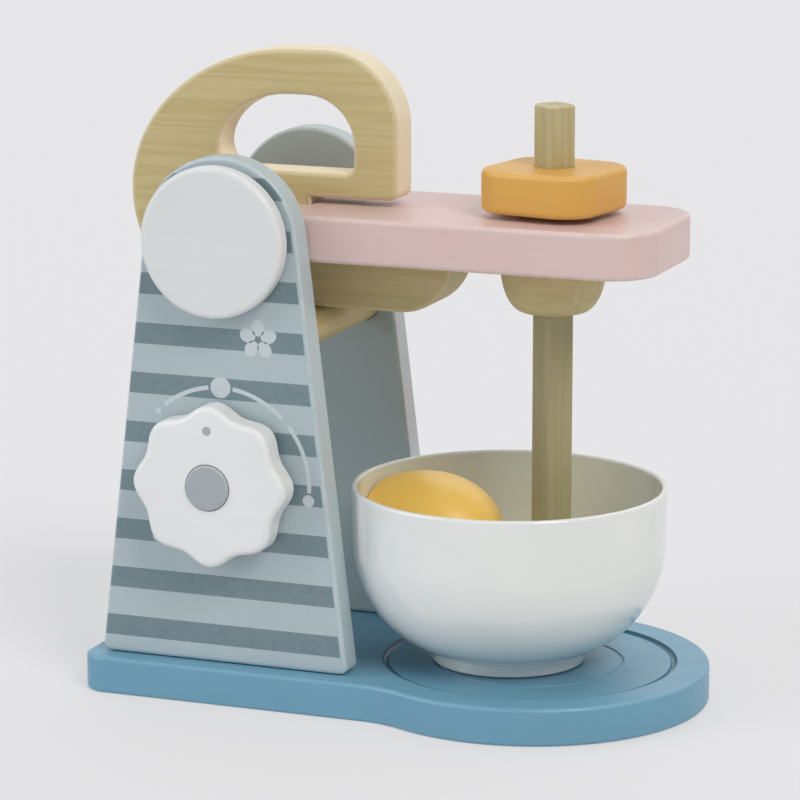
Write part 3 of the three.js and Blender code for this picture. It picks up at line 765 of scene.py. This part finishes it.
marigold = paint("orange_paint", "marigold_sprayed_beech", "#E0AD52", "#D8A145", "#EABE6F",
                 roughness=0.42)
slate_grey = paint("grey_paint", "slate_grey_sprayed_beech", "#A9B1B6", "#A0A8AE", "#BCC3C7",
                   roughness=0.42)
beech_along_x = bare_wood("clear_lacquered_beech_grain_along", "X")
# Painted light: the grip's narrow faces are painted pale, as if lit from the side.
beech_grip = bare_wood("clear_lacquered_beech_lit_narrow_faces", "X", sawn_share=1.0)
beech_across = bare_wood("clear_lacquered_beech_grain_across", "Y")
# Painted shade: the shaft is painted darker below the middle of the hub, where the arm shades it.
beech_upright = bare_wood("clear_lacquered_beech_grain_upright", "Z", early="#C0B488", late="#B5A97B",
                          fleck="#A3966A", dip_level=(hub_low.z + hub_high.z) / 2)
screen_ink = Finish(pale_ink(), "panel_paint", "print")
melamine = Finish(white_melamine(), "bowl_white", "moulded")
yolk_lacquer = Finish(yellow_gloss_lacquer(), "egg_lacquer", "lacquered")
zinc = Finish(zinc_plate(), "zinc_steel", "plated")
fibre = Finish(pressed_fibre(), "fibre", "pressed")


# The places of the screws that hold a panel from under the base.
def panel_screw_places(side):
    reach = PANEL_FOOT_HALF - PANEL_SCREW_INSET
    y = side * (panel_inside + panel_outside) / 2
    return [("rear", (pivot.x - reach, y)), ("front", (pivot.x + reach, y))]


# The hole in the base that a screw's head is sunk in.
def screw_hole(centre):
    mouth = SCREW_HEAD_RADIUS + SEAT_GAP
    shank = SCREW_RADIUS + SEAT_GAP
    cone = base_low.z + SCREW_SINK
    rings = [(mouth, base_low.z), (mouth, cone), (shank, cone + SCREW_HEAD_DEPTH), (shank, base_top)]
    return [(list(reversed(circle(centre, radius))), height, 0.0) for radius, height in rings]


# Base: straight-sided at the rear, swelling through concave fillets into a round bowl end.
def base_outline():
    half = panel_outside + BASE_SIDE_MARGIN
    reach = base_end_radius + WAIST_FILLET
    fillet_y = half + WAIST_FILLET
    fillet_x = base_end_x - sqrt(reach ** 2 - fillet_y ** 2)
    turn = degrees(atan2(fillet_y, base_end_x - fillet_x))
    rear = base_low.x + BASE_CORNER
    side = half - BASE_CORNER
    return outline(
        arc((fillet_x, -fillet_y), WAIST_FILLET, 90, turn),
        arc((base_end_x, 0), base_end_radius, turn - 180, 180 - turn),
        arc((fillet_x, fillet_y), WAIST_FILLET, -turn, -90),
        arc((rear, side), BASE_CORNER, 90, 180),
        arc((rear, -side), BASE_CORNER, 180, 270))


# The shallow round recess that the bowl stands in, from its rim groove in to the centre.
def bowl_recess():
    centre = (base_end_x, 0)
    rings = []
    for i in range(ROUNDING_STEPS * 2 + 1):
        share = i / (ROUNDING_STEPS * 2)
        radius = recess_radius + GROOVE_WIDTH / 2 * (1 - 2 * share)
        from_height = base_top + (recess_floor - base_top) * share
        dip = (GROOVE_DEPTH - RECESS_DEPTH / 2) * sqrt(max(0.0, 1 - (2 * share - 1) ** 2))
        rings.append((radius, from_height - dip, GROOVE_WEAR if share in (0, 1) else 0.0))
    for i in range(ROUNDING_STEPS * 2 + 1):
        turn = pi * i / (ROUNDING_STEPS * 2)
        radius = inner_ring_radius + INNER_RING_WIDTH / 2 * cos(turn)
        rings.append((radius, recess_floor - INNER_RING_WIDTH / 2 * sin(turn), 0.0))
    return [(list(reversed(circle(centre, r, TURNED_SIDES))), height, wear) for r, height, wear in rings]


def base_board():
    places = panel_screw_places(-1) + panel_screw_places(1)
    holes = [screw_hole(centre) for _, centre in places]
    wall = rounded_wall(base_outline(), base_low.z, base_top, BASE_EDGE)
    piece = board(wall, holes=holes, high_wells=[bowl_recess()])
    install("base_board", piece, "stand", sky_blue)


# Side panel: straight sides from the foot, tangent to the round top about the pivot.
def panel_outline():
    tangent = 90 - panel_side_angle
    corner = PANEL_FOOT_CORNER
    reach = PANEL_FOOT_HALF - corner / tan(radians(panel_side_angle / 2))
    height = panel_foot + corner
    return outline(
        arc((pivot.x + reach, height), corner, -90, tangent),
        arc(pivot_centre, PANEL_TOP_RADIUS, tangent, 180 - tangent),
        arc((pivot.x - reach, height), corner, 180 - tangent, 270))


def side_panel(node, side, finish, holes):
    low, high = sorted((side * panel_inside, side * panel_outside))
    axle = circle(pivot_centre, AXLE_RADIUS + RUNNING_GAP)
    drilled_holes = [through_hole(ring, low, high) for ring in [axle, *holes]]
    socket = list(reversed(circle(rail_centre, rail_radius + SEAT_GAP)))
    face = side * panel_inside
    rings = [(socket, face, 0.0), (socket, face + side * RAIL_SOCKET, 0.0)]
    wells = {"low_wells": [rings]} if side > 0 else {"high_wells": [rings]}
    wall = rounded_wall(panel_outline(), low, high, PANEL_EDGE)
    piece = board(wall, holes=drilled_holes, upright=True, **wells)
    bores = screw_bores("near_panel_screw_rear", base_low.z, panel_screw_places(side))
    install(node, piece, "stand", finish, bores)


# Bores for screws like the given one, sunk from the underside of the board that holds their heads.
def screw_bores(node, underside, places):
    low, high = node_box(node)
    mouth = SCREW_HEAD_RADIUS + SEAT_GAP
    shank = SCREW_RADIUS + SEAT_GAP
    profile = plain((0, underside), (mouth, underside), (mouth, low.z), (shank, low.z + SCREW_HEAD_DEPTH),
                    (shank, high.z - SCREW_TIP), (0, high.z + SEAT_GAP))
    return [turned(profile, centre, sides=SMALL_SIDES) for _, centre in places]


# A countersunk screw with a cross recess, seen from below.
def screw(node, centre, body):
    foot, tip = (corner.z for corner in node_box(node))
    stations = [(SCREW_HEAD_RADIUS, foot), (SCREW_HEAD_RADIUS, foot + SEAT_GAP),
                (SCREW_RADIUS, foot + SCREW_HEAD_DEPTH), (SCREW_RADIUS, tip - SCREW_TIP),
                (SCREW_TIP_RADIUS, tip)]
    shape = [(circle(centre, radius), height, 0.0) for radius, height in stations]
    cross = [(list(reversed(cross_outline(centre, share))), foot + depth, 0.0)
             for share, depth in [(1.0, 0.0), (CROSS_TAPER, CROSS_DEPTH)]]
    install(node, board(shape, low_wells=[cross]), body, zinc)


def cross_outline(centre, share):
    reach = CROSS_REACH * share
    half = CROSS_WIDTH / 2 * share
    corners = [(reach, -half), (reach, half), (half, half)]
    points = []
    for quarter in range(4):
        turn = Matrix.Rotation(radians(90 * quarter), 2)
        points.extend(Vector(centre) + turn @ Vector(corner) for corner in corners)
    return outline(points)


def rod(radius, low, high):
    return plain((0, low), (radius, low), (radius, high), (0, high))


# A dowel's profile, its ends chamfered.
def dowel(radius, low, high, chamfer):
    return plain((0, low), (radius - chamfer, low), (radius, low + chamfer),
                 (radius, high - chamfer), (radius - chamfer, high), (0, high))


def stop_rail():
    profile = dowel(rail_radius, rail_low.y, rail_high.y, RAIL_CHAMFER)
    install("stop_rail", turned_across(profile, rail_centre, TURNED_SIDES), "stand", beech_across)


def pivot_axle():
    low, high = node_box("pivot_axle")
    piece = turned_across(dowel(AXLE_RADIUS, low.y, high.y, AXLE_CHAMFER))
    install("pivot_axle", piece, "head", beech_across)


# A disc that is turned about an axle along Y, with a rounded rim on both faces and a blind socket.
def turned_disc(radius, edge, inner, outer, socket_radius, socket_depth):
    side = 1 if outer > inner else -1
    rim = radius - edge
    profile = plain((0, inner + side * socket_depth), (socket_radius, inner + side * socket_depth),
                    (socket_radius, inner), (rim, inner))
    low = [(r, inner + side * h, wear) for r, h, wear in round_over((rim, edge), edge, -90, 0)]
    high = [(r, outer + side * h, wear) for r, h, wear in round_over((rim, -edge), edge, 0, 90)]
    return profile + low[1:] + high + plain((0, outer))


def axle_cap(node):
    inner, outer = sorted((corner.y for corner in node_box(node)), key=abs)
    profile = turned_disc(CAP_RADIUS, CAP_EDGE, inner, outer, AXLE_RADIUS + SEAT_GAP, AXLE_SOCKET)
    install(node, turned_across(profile, sides=TURNED_SIDES), "head", chalk_white)


def cap_washer(node):
    low, high = node_box(node)
    bore = AXLE_RADIUS + SEAT_GAP
    profile = plain((bore, low.y), (WASHER_RADIUS, low.y), (WASHER_RADIUS, high.y), (bore, high.y))
    install(node, turned_across(profile, closed=True), "head", fibre)


# Arm: rounded at the front, slotted at the tail for the grip's tongue.
def arm_outline():
    front = arm_high.x - ARM_FRONT_CORNER
    tail = arm_low.x + ARM_TAIL_CORNER
    nose = arm_high.y - ARM_FRONT_CORNER
    heel = arm_high.y - ARM_TAIL_CORNER
    slot_end = pivot.x + TONGUE_REACH + SEAT_GAP
    slot_half = grip_high.y + SEAT_GAP
    return outline(
        arc((front, -nose), ARM_FRONT_CORNER, -90, 0),
        arc((front, nose), ARM_FRONT_CORNER, 0, 90),
        arc((tail, heel), ARM_TAIL_CORNER, 90, 180),
        [(arm_low.x, slot_half), (slot_end, slot_half), (slot_end, -slot_half), (arm_low.x, -slot_half)],
        arc((tail, -heel), ARM_TAIL_CORNER, 180, 270))


def keel_screw_places():
    front = keel_high.x - (keel_high.z - keel_low.z) - KEEL_SCREW_SETBACK
    return [("rear", (front - KEEL_SCREW_SPACING, 0)), ("front", (front, 0))]


def keel_screw_bores():
    return screw_bores("keel_screw_rear", keel_low.z - SEAT_GAP, keel_screw_places())


def arm_board():
    shaft_reach = (SHAFT_WIDTH / 2 - SHAFT_CORNER) * sqrt(2) + SHAFT_CORNER
    shaft_bore = circle((beater_axis.x, 0), shaft_reach + RUNNING_GAP, PIN_SIDES)
    axle_bore = turned_across(rod(AXLE_RADIUS + SEAT_GAP, -panel_inside, panel_inside))
    wall = rounded_wall(arm_outline(), arm_low.z, arm_high.z, ARM_EDGE)
    piece = board(wall, holes=[through_hole(shaft_bore, arm_low.z, arm_high.z)])
    install("arm_board", piece, "head", dusty_pink, [axle_bore, *keel_screw_bores()])


# Grip: a flattened D, high at the rear, with a long hand hole. Its foot stops clear of the arm.
def grip_outline():
    front = grip_high.x
    top = grip_high.z
    half_length = grip_high.x - pivot.x
    shoulder = pivot.z + GRIP_SHOULDER
    foot = arm_high.z + GRIP_FOOT_GAP
    tongue = pivot.x + TONGUE_REACH
    sweep = (GRIP_CROWN + half_length, top - shoulder)
    tail_turn = degrees(asin((shoulder - arm_low.z) / sweep[1]))
    return outline(
        [(tongue, foot)],
        arc((front - GRIP_FOOT_CORNER, foot + GRIP_FOOT_CORNER), GRIP_FOOT_CORNER, -90, 0),
        arc((front - GRIP_FRONT_CORNER, top - GRIP_FRONT_CORNER), GRIP_FRONT_CORNER, 0, 90),
        arc((pivot.x + GRIP_CROWN, shoulder), sweep, 90, 180 + tail_turn),
        [(tongue, arm_low.z)])


def hand_hole():
    half_length = grip_high.x - pivot.x
    rear = pivot.x - half_length + GRIP_REAR_BAR
    front = grip_high.x - GRIP_FRONT_BAR
    top = grip_high.z - GRIP_TOP_BAR
    floor = arm_high.z + GRIP_FOOT_GAP + GRIP_FOOT_BAR
    crown = pivot.x + GRIP_CROWN - HOLE_CROWN_SHIFT
    rise = floor + HOLE_REAR_RISE
    return outline(
        arc((front - HOLE_FLOOR_CORNER, floor + HOLE_FLOOR_CORNER), HOLE_FLOOR_CORNER, -90, 0),
        arc((front - HOLE_FRONT_CORNER, top - HOLE_FRONT_CORNER), HOLE_FRONT_CORNER, 0, 90),
        arc((crown, rise), (crown - rear, top - rise), 90, 180),
        arc((rear + HOLE_REAR_RISE, rise), HOLE_REAR_RISE, 180, 270))


def hand_grip():
    bore = circle(pivot_centre, AXLE_RADIUS + SEAT_GAP)
    holes = [through_hole(hand_hole(), grip_low.y, grip_high.y, GRIP_EDGE),
             through_hole(bore, grip_low.y, grip_high.y)]
    wall = rounded_wall(grip_outline(), grip_low.y, grip_high.y, GRIP_EDGE)
    piece = board(wall, holes=holes, upright=True)
    install("hand_grip", piece, "head", beech_grip)


# Keel: its rear end is rounded about the pivot, so it swings clear of the stop rail.
def keel_block():
    depth = keel_high.z - keel_low.z
    swing = pivot.z - keel_low.z
    start = 180 + degrees(asin((pivot.z - keel_high.z) / swing))
    shape = outline(arc(pivot_centre, swing, start, 270),
                    arc((keel_high.x - depth, keel_high.z), depth, -90, 0))
    piece = board(rounded_wall(shape, keel_low.y, keel_high.y, KEEL_EDGE), upright=True)
    install("keel_block", piece, "head", beech_along_x, keel_screw_bores())


# The beater's pieces are drawn about the Z axis, turned to rest, and set on the beater's own axis.
def at_beater(turn):
    return Matrix.Translation(Vector((beater_axis.x, 0, 0))) @ Matrix.Rotation(radians(turn), 4, "Z")


# The square hole for the shaft, in a piece that is itself turned to the given rest.
def square_hole(low, high, piece_turn):
    half = SHAFT_WIDTH / 2 + SEAT_GAP
    turn = Matrix.Rotation(radians(SHAFT_REST_TURN - piece_turn), 2)
    hole = [turn @ point for point in rounded_rectangle(half, half, SHAFT_CORNER + SEAT_GAP)]
    return through_hole(hole, low, high, SEAT_GAP)


# A square bar with rounded corners, between a node's own heights.
def square_bar(width, corner, low, high, edge):
    return rounded_wall(rounded_rectangle(width / 2, width / 2, corner), low.z, high.z, edge)


# The hub's side: a quarter ellipse that flares up to a short collar.
def hub_side():
    bell_top = hub_high.z - HUB_COLLAR
    flare = (HUB_TOP_RADIUS - HUB_FOOT_RADIUS, bell_top - hub_low.z)
    profile = [*arc((HUB_FOOT_RADIUS, bell_top), flare, -90, 0),
               (HUB_TOP_RADIUS, hub_high.z - SOFT_EDGE), (HUB_TOP_RADIUS - SOFT_EDGE, hub_high.z)]
    return [(circle((0, 0), radius, TURNED_SIDES), height, 0.0) for radius, height in profile]


def beater():
    with_shaft = at_beater(SHAFT_REST_TURN)
    bar = square_bar(SHAFT_WIDTH, SHAFT_CORNER, shaft_low, shaft_high, SHAFT_EDGE)
    slab = square_bar(KNOB_WIDTH, KNOB_CORNER, knob_low, knob_high, KNOB_EDGE)
    rim = circle((0, 0), SPACER_RADIUS, TURNED_SIDES)
    disc = rounded_wall(rim, spacer_low.z, spacer_high.z, SOFT_EDGE)
    knob = board(slab, [square_hole(knob_low.z, knob_high.z, KNOB_REST_TURN)])
    spacer = board(disc, [square_hole(spacer_low.z, spacer_high.z, SHAFT_REST_TURN)])
    hub = board(hub_side(), [square_hole(hub_low.z, hub_high.z, SHAFT_REST_TURN)])
    install("beater_shaft", board(bar), "beater", beech_upright, placed=with_shaft)
    install("beater_knob", knob, "beater", marigold, placed=at_beater(KNOB_REST_TURN))
    install("knob_spacer", spacer, "beater", beech_along_x, placed=with_shaft)
    install("beater_hub", hub, "beater", beech_along_x, placed=with_shaft)


# Dial: a softly lobed disc with a sunk button at its centre.
def dial_knob():
    face, back = dial_low.y, dial_high.y
    lobed = []
    for i in range(DIAL_STEPS):
        turn = 2 * pi * i / DIAL_STEPS
        reach = DIAL_RADIUS + DIAL_LOBE_DEPTH * cos(DIAL_LOBES * turn)
        lobed.append(dial_centre + reach * Vector((cos(turn), sin(turn))))
    recess = list(reversed(circle(dial_centre, BUTTON_RADIUS + SEAT_GAP, PIN_SIDES)))
    floor = face + BUTTON_THICKNESS - BUTTON_PROUD + SEAT_GAP
    socket = list(reversed(circle(dial_centre, PIN_RADIUS + SEAT_GAP)))
    piece = board(rounded_wall(lobed, face, back, DIAL_EDGE),
                  low_wells=[[(recess, face, BUTTON_RIM_WEAR), (recess, floor, 0.0)]],
                  high_wells=[[(socket, back, 0.0), (socket, back - PIN_SOCKET, 0.0)]], upright=True)
    install("dial_knob", piece, "dial", satin_white)


def dial_button():
    face = dial_low.y - BUTTON_PROUD
    profile = turned_disc(BUTTON_RADIUS, BUTTON_PROUD, face + BUTTON_THICKNESS, face, *BUTTON_SOCKET)
    install("dial_button", turned_across(profile, dial_centre, TURNED_SIDES), "dial", slate_grey)


def dial_pin():
    low, high = node_box("dial_pin")
    install("dial_pin", turned_across(rod(PIN_RADIUS, low.y, high.y), dial_centre), "dial", beech_across)


def dial_retainer():
    low, high = node_box("dial_retainer")
    bore = PIN_RADIUS + SEAT_GAP
    rim = RETAINER_RADIUS - RETAINER_EDGE
    profile = (plain((bore, low.y), (rim, low.y))
               + round_over((rim, low.y + RETAINER_EDGE), RETAINER_EDGE, -90, 0)[1:]
               + round_over((rim, high.y - RETAINER_EDGE), RETAINER_EDGE, 0, 90) + plain((bore, high.y)))
    install("dial_retainer", turned_across(profile, dial_centre, closed=True), "dial", beech_across)


# Prints: flat shapes of ink, hardly proud of the face that carries them.
def print_ink(name, shapes, face, body, finish):
    piece = Piece(upright=True)
    for shape in shapes:
        low, high = piece.walls([(shape, face - PRINT_PROUD, 0.0), (shape, face + PRINT_SUNK, 0.0)])
        piece.cap(low)
        piece.cap(high)
    dressed(piece.mesh(name), body, finish)


def dial_track():
    outer = TRACK_RADIUS + TRACK_WIDTH / 2
    inner = TRACK_RADIUS - TRACK_WIDTH / 2
    bands = [outline(arc(dial_centre, outer, start, end), arc(dial_centre, inner, end, start))
             for start, end in TRACK_STRETCHES]
    dots = [circle(arc(dial_centre, TRACK_RADIUS, turn, turn)[0], radius) for turn, radius in TRACK_DOTS]
    print_ink("dial_track_print", bands, -panel_outside, "stand", screen_ink)
    print_ink("dial_dots_print", dots, -panel_outside, "stand", screen_ink)


# A small five-petalled blossom on the upper bands.
def blossom():
    centre = Vector((pivot.x + BLOSSOM_PLACE[0], BLOSSOM_PLACE[1]))
    petals = []
    for i in range(BLOSSOM_PETALS):
        turn = Matrix.Rotation(2 * pi * i / BLOSSOM_PETALS + pi / 2, 2)
        petal = arc((PETAL_REACH, 0), PETAL_SIZE, 0, 360 - ARC_STEP)
        petals.append([centre + turn @ point for point in petal])
    print_ink("blossom_print", petals, -panel_outside, "stand", screen_ink)


def dial_pointer():
    spot = circle((dial_centre.x, dial_centre.y + DIAL_RADIUS - POINTER_INSET), POINTER_RADIUS)
    print_ink("dial_pointer_print", [spot], dial_low.y, "dial", slate_grey)


# Bowl: thin, on a foot ring, with a rounded shoulder that runs up into an almost upright wall.
def bowl():
    shoulder = (bowl_shoulder_x, bowl_shoulder_z)
    foot = bowl_low.z
    foot_inner = BOWL_FOOT_RADIUS - BOWL_FOOT_WALL
    edge = BOWL_FOOT_EDGE
    landing = -degrees(acos((BOWL_FOOT_RADIUS - bowl_shoulder_x) / BOWL_SHOULDER_RADIUS))
    rim = (bowl_rim_radius - BOWL_WALL / 2, bowl_high.z - BOWL_WALL / 2)
    inside = arc(shoulder, BOWL_SHOULDER_RADIUS - BOWL_WALL, 0, -90)
    profile = (plain((0, bowl_underside), (bowl_shoulder_x, bowl_underside),
                     (foot_inner, foot + BOWL_FOOT_HEIGHT))
               + round_over((foot_inner + edge, foot + edge), edge, 180, 270)
               + round_over((BOWL_FOOT_RADIUS - edge, foot + edge), edge, 270, 360)
               + plain(*arc(shoulder, BOWL_SHOULDER_RADIUS, landing, 0))
               + round_over(rim, BOWL_WALL / 2, 0, 180)
               + plain(*inside, (0, bowl_underside + BOWL_WALL)))
    install("bowl", turned(profile, (bowl_centre_x, 0)), "mixing_bowl", melamine)


# Egg half: leaning on the bowl's rear wall by its cut face's rim, with the lower rim on the floor.
def egg_half():
    rim = EGG_RADIUS - EGG_EDGE
    lean = radians(EGG_LEAN)
    reach = BOWL_SHOULDER_RADIUS - BOWL_WALL - SEAT_GAP - EGG_EDGE
    wall = bowl_shoulder_x + reach
    setback = min(wall - rim * cos(lean), sqrt(wall ** 2 - rim ** 2))
    low = max(0.0, setback - rim * cos(lean) - bowl_shoulder_x)
    height = bowl_shoulder_z - sqrt(reach ** 2 - low ** 2) + rim * sin(lean)
    placed = (Matrix.Translation(Vector((bowl_centre_x, 0, 0)))
              @ Matrix.Rotation(radians(EGG_TURN), 4, "Z")
              @ Matrix.Translation(Vector((-setback, 0, height)))
              @ Matrix.Rotation(lean, 4, "Y")
              @ Matrix.Translation(Vector((0, 0, -EGG_EDGE))))
    dome = arc((0, EGG_EDGE), (EGG_RADIUS, EGG_HEIGHT - EGG_EDGE), 0, 90)
    profile = plain((0, 0)) + round_over((rim, EGG_EDGE), EGG_EDGE, -90, 0) + plain(*dome)
    install("egg_half", turned(profile), "egg", yolk_lacquer, placed=placed)


base_board()
side_panel("near_panel", -1, slate_bands, [circle(dial_centre, PIN_RADIUS + RUNNING_GAP)])
side_panel("far_panel", 1, grey_blue, [])
for panel, side in [("near_panel", -1), ("far_panel", 1)]:
    for end, centre in panel_screw_places(side):
        screw(f"{panel}_screw_{end}", centre, "stand")
stop_rail()
pivot_axle()
axle_cap("near_axle_cap")
axle_cap("far_axle_cap")
cap_washer("near_cap_washer")
cap_washer("far_cap_washer")
arm_board()
hand_grip()
keel_block()
for end, centre in keel_screw_places():
    screw(f"keel_screw_{end}", centre, "head")
beater()
dial_knob()
dial_button()
dial_pin()
dial_retainer()
dial_track()
blossom()
dial_pointer()
bowl()
egg_half()


# A pale floor that keeps the toy's soft shadow, and a pale surround where no floor is seen.
FLOOR_REACH = 12.0
SHADOW_VEIL = 0.52


def studio():
    floor_mesh = bpy.data.meshes.new("studio_floor")
    corners = [(x * FLOOR_REACH, y * FLOOR_REACH, 0) for x, y in [(-1, -1), (1, -1), (1, 1), (-1, 1)]]
    floor_mesh.from_pydata(corners, [], [(0, 1, 2, 3)])
    floor = linked("studio_floor", floor_mesh)
    floor_mesh.materials.append(matt_white_sweep())
    world = bpy.data.worlds.new("soft_surround")
    bpy.context.scene.world = world
    world.use_nodes = True
    tree = world.node_tree
    tree.nodes.clear()
    lit = add(tree, "Background", {"Color": "#F1F6FF", "Strength": 0.4})
    seen = add(tree, "Background", {"Color": "#E8E7E8"})
    add(tree, "OutputWorld", (add(tree, "MixShader", (seen_directly(tree), lit, seen)),))
    sun("window_key", (0.57, -0.43, 0.70), 1.35, 26.0, "#FFF9F0")
    sun("room_fill", (-0.75, -0.5, 0.43), 0.95, 40.0, "#F6FAFF")
    sun("high_back_glow", (0.0, 0.6, 0.8), 0.7, 60.0, "#F6FAFF")


# One where the camera, or a reflection, looks straight at what is shaded.
def seen_directly(tree):
    ways = add(tree, "LightPath").node.outputs
    seen = add(tree, "Math", (ways["Is Camera Ray"], ways["Is Glossy Ray"]), operation="MAXIMUM")
    return add(tree, "Math", (seen, ways["Is Transmission Ray"]), operation="MAXIMUM")


# Matt white paper sweep. To the eye its shadows are thinned by a veil of its own pale colour.
def matt_white_sweep():
    material, tree, _ = started("matt_white_sweep")
    paper = add(tree, "BsdfPrincipled", {"Base Color": "#E4E3E4", "Roughness": 0.9})
    veil = add(tree, "Emission", {"Color": "#ECEBEC"})
    share = add(tree, "Math", (seen_directly(tree), SHADOW_VEIL), operation="MULTIPLY")
    add(tree, "OutputMaterial", (add(tree, "MixShader", (share, paper, veil)),))
    return material


def sun(name, towards, strength, spread_angle, colour):
    lamp = bpy.data.lights.new(name, "SUN")
    lamp.energy = strength
    lamp.color = linear(colour)[:3]
    lamp.angle = radians(spread_angle)
    linked(name, lamp).rotation_euler = Vector(towards).to_track_quat("Z", "Y").to_euler()


# The camera stands where the picture was taken from, seen from the toy.
VIEW_AZIMUTH = 21.1
VIEW_ELEVATION = 12.05
VIEW_DISTANCE = 1.491
VIEW_AIM = Vector((-0.008, 0.005, 0.114))
VIEW_LENS = 169.0
VIEW_CLIP = 100.0


def camera():
    azimuth = radians(VIEW_AZIMUTH)
    elevation = radians(VIEW_ELEVATION)
    back = Vector((sin(azimuth) * cos(elevation), -cos(azimuth) * cos(elevation),
                   sin(elevation)))
    data = bpy.data.cameras.new("camera")
    data.lens = VIEW_LENS
    data.clip_end = VIEW_CLIP
    made = linked("camera", data)
    made.location = VIEW_AIM + back * VIEW_DISTANCE
    made.rotation_euler = back.to_track_quat("Z", "Y").to_euler()
    bpy.context.scene.camera = made


studio()
camera()
bpy.context.scene.view_settings.view_transform = "Standard"
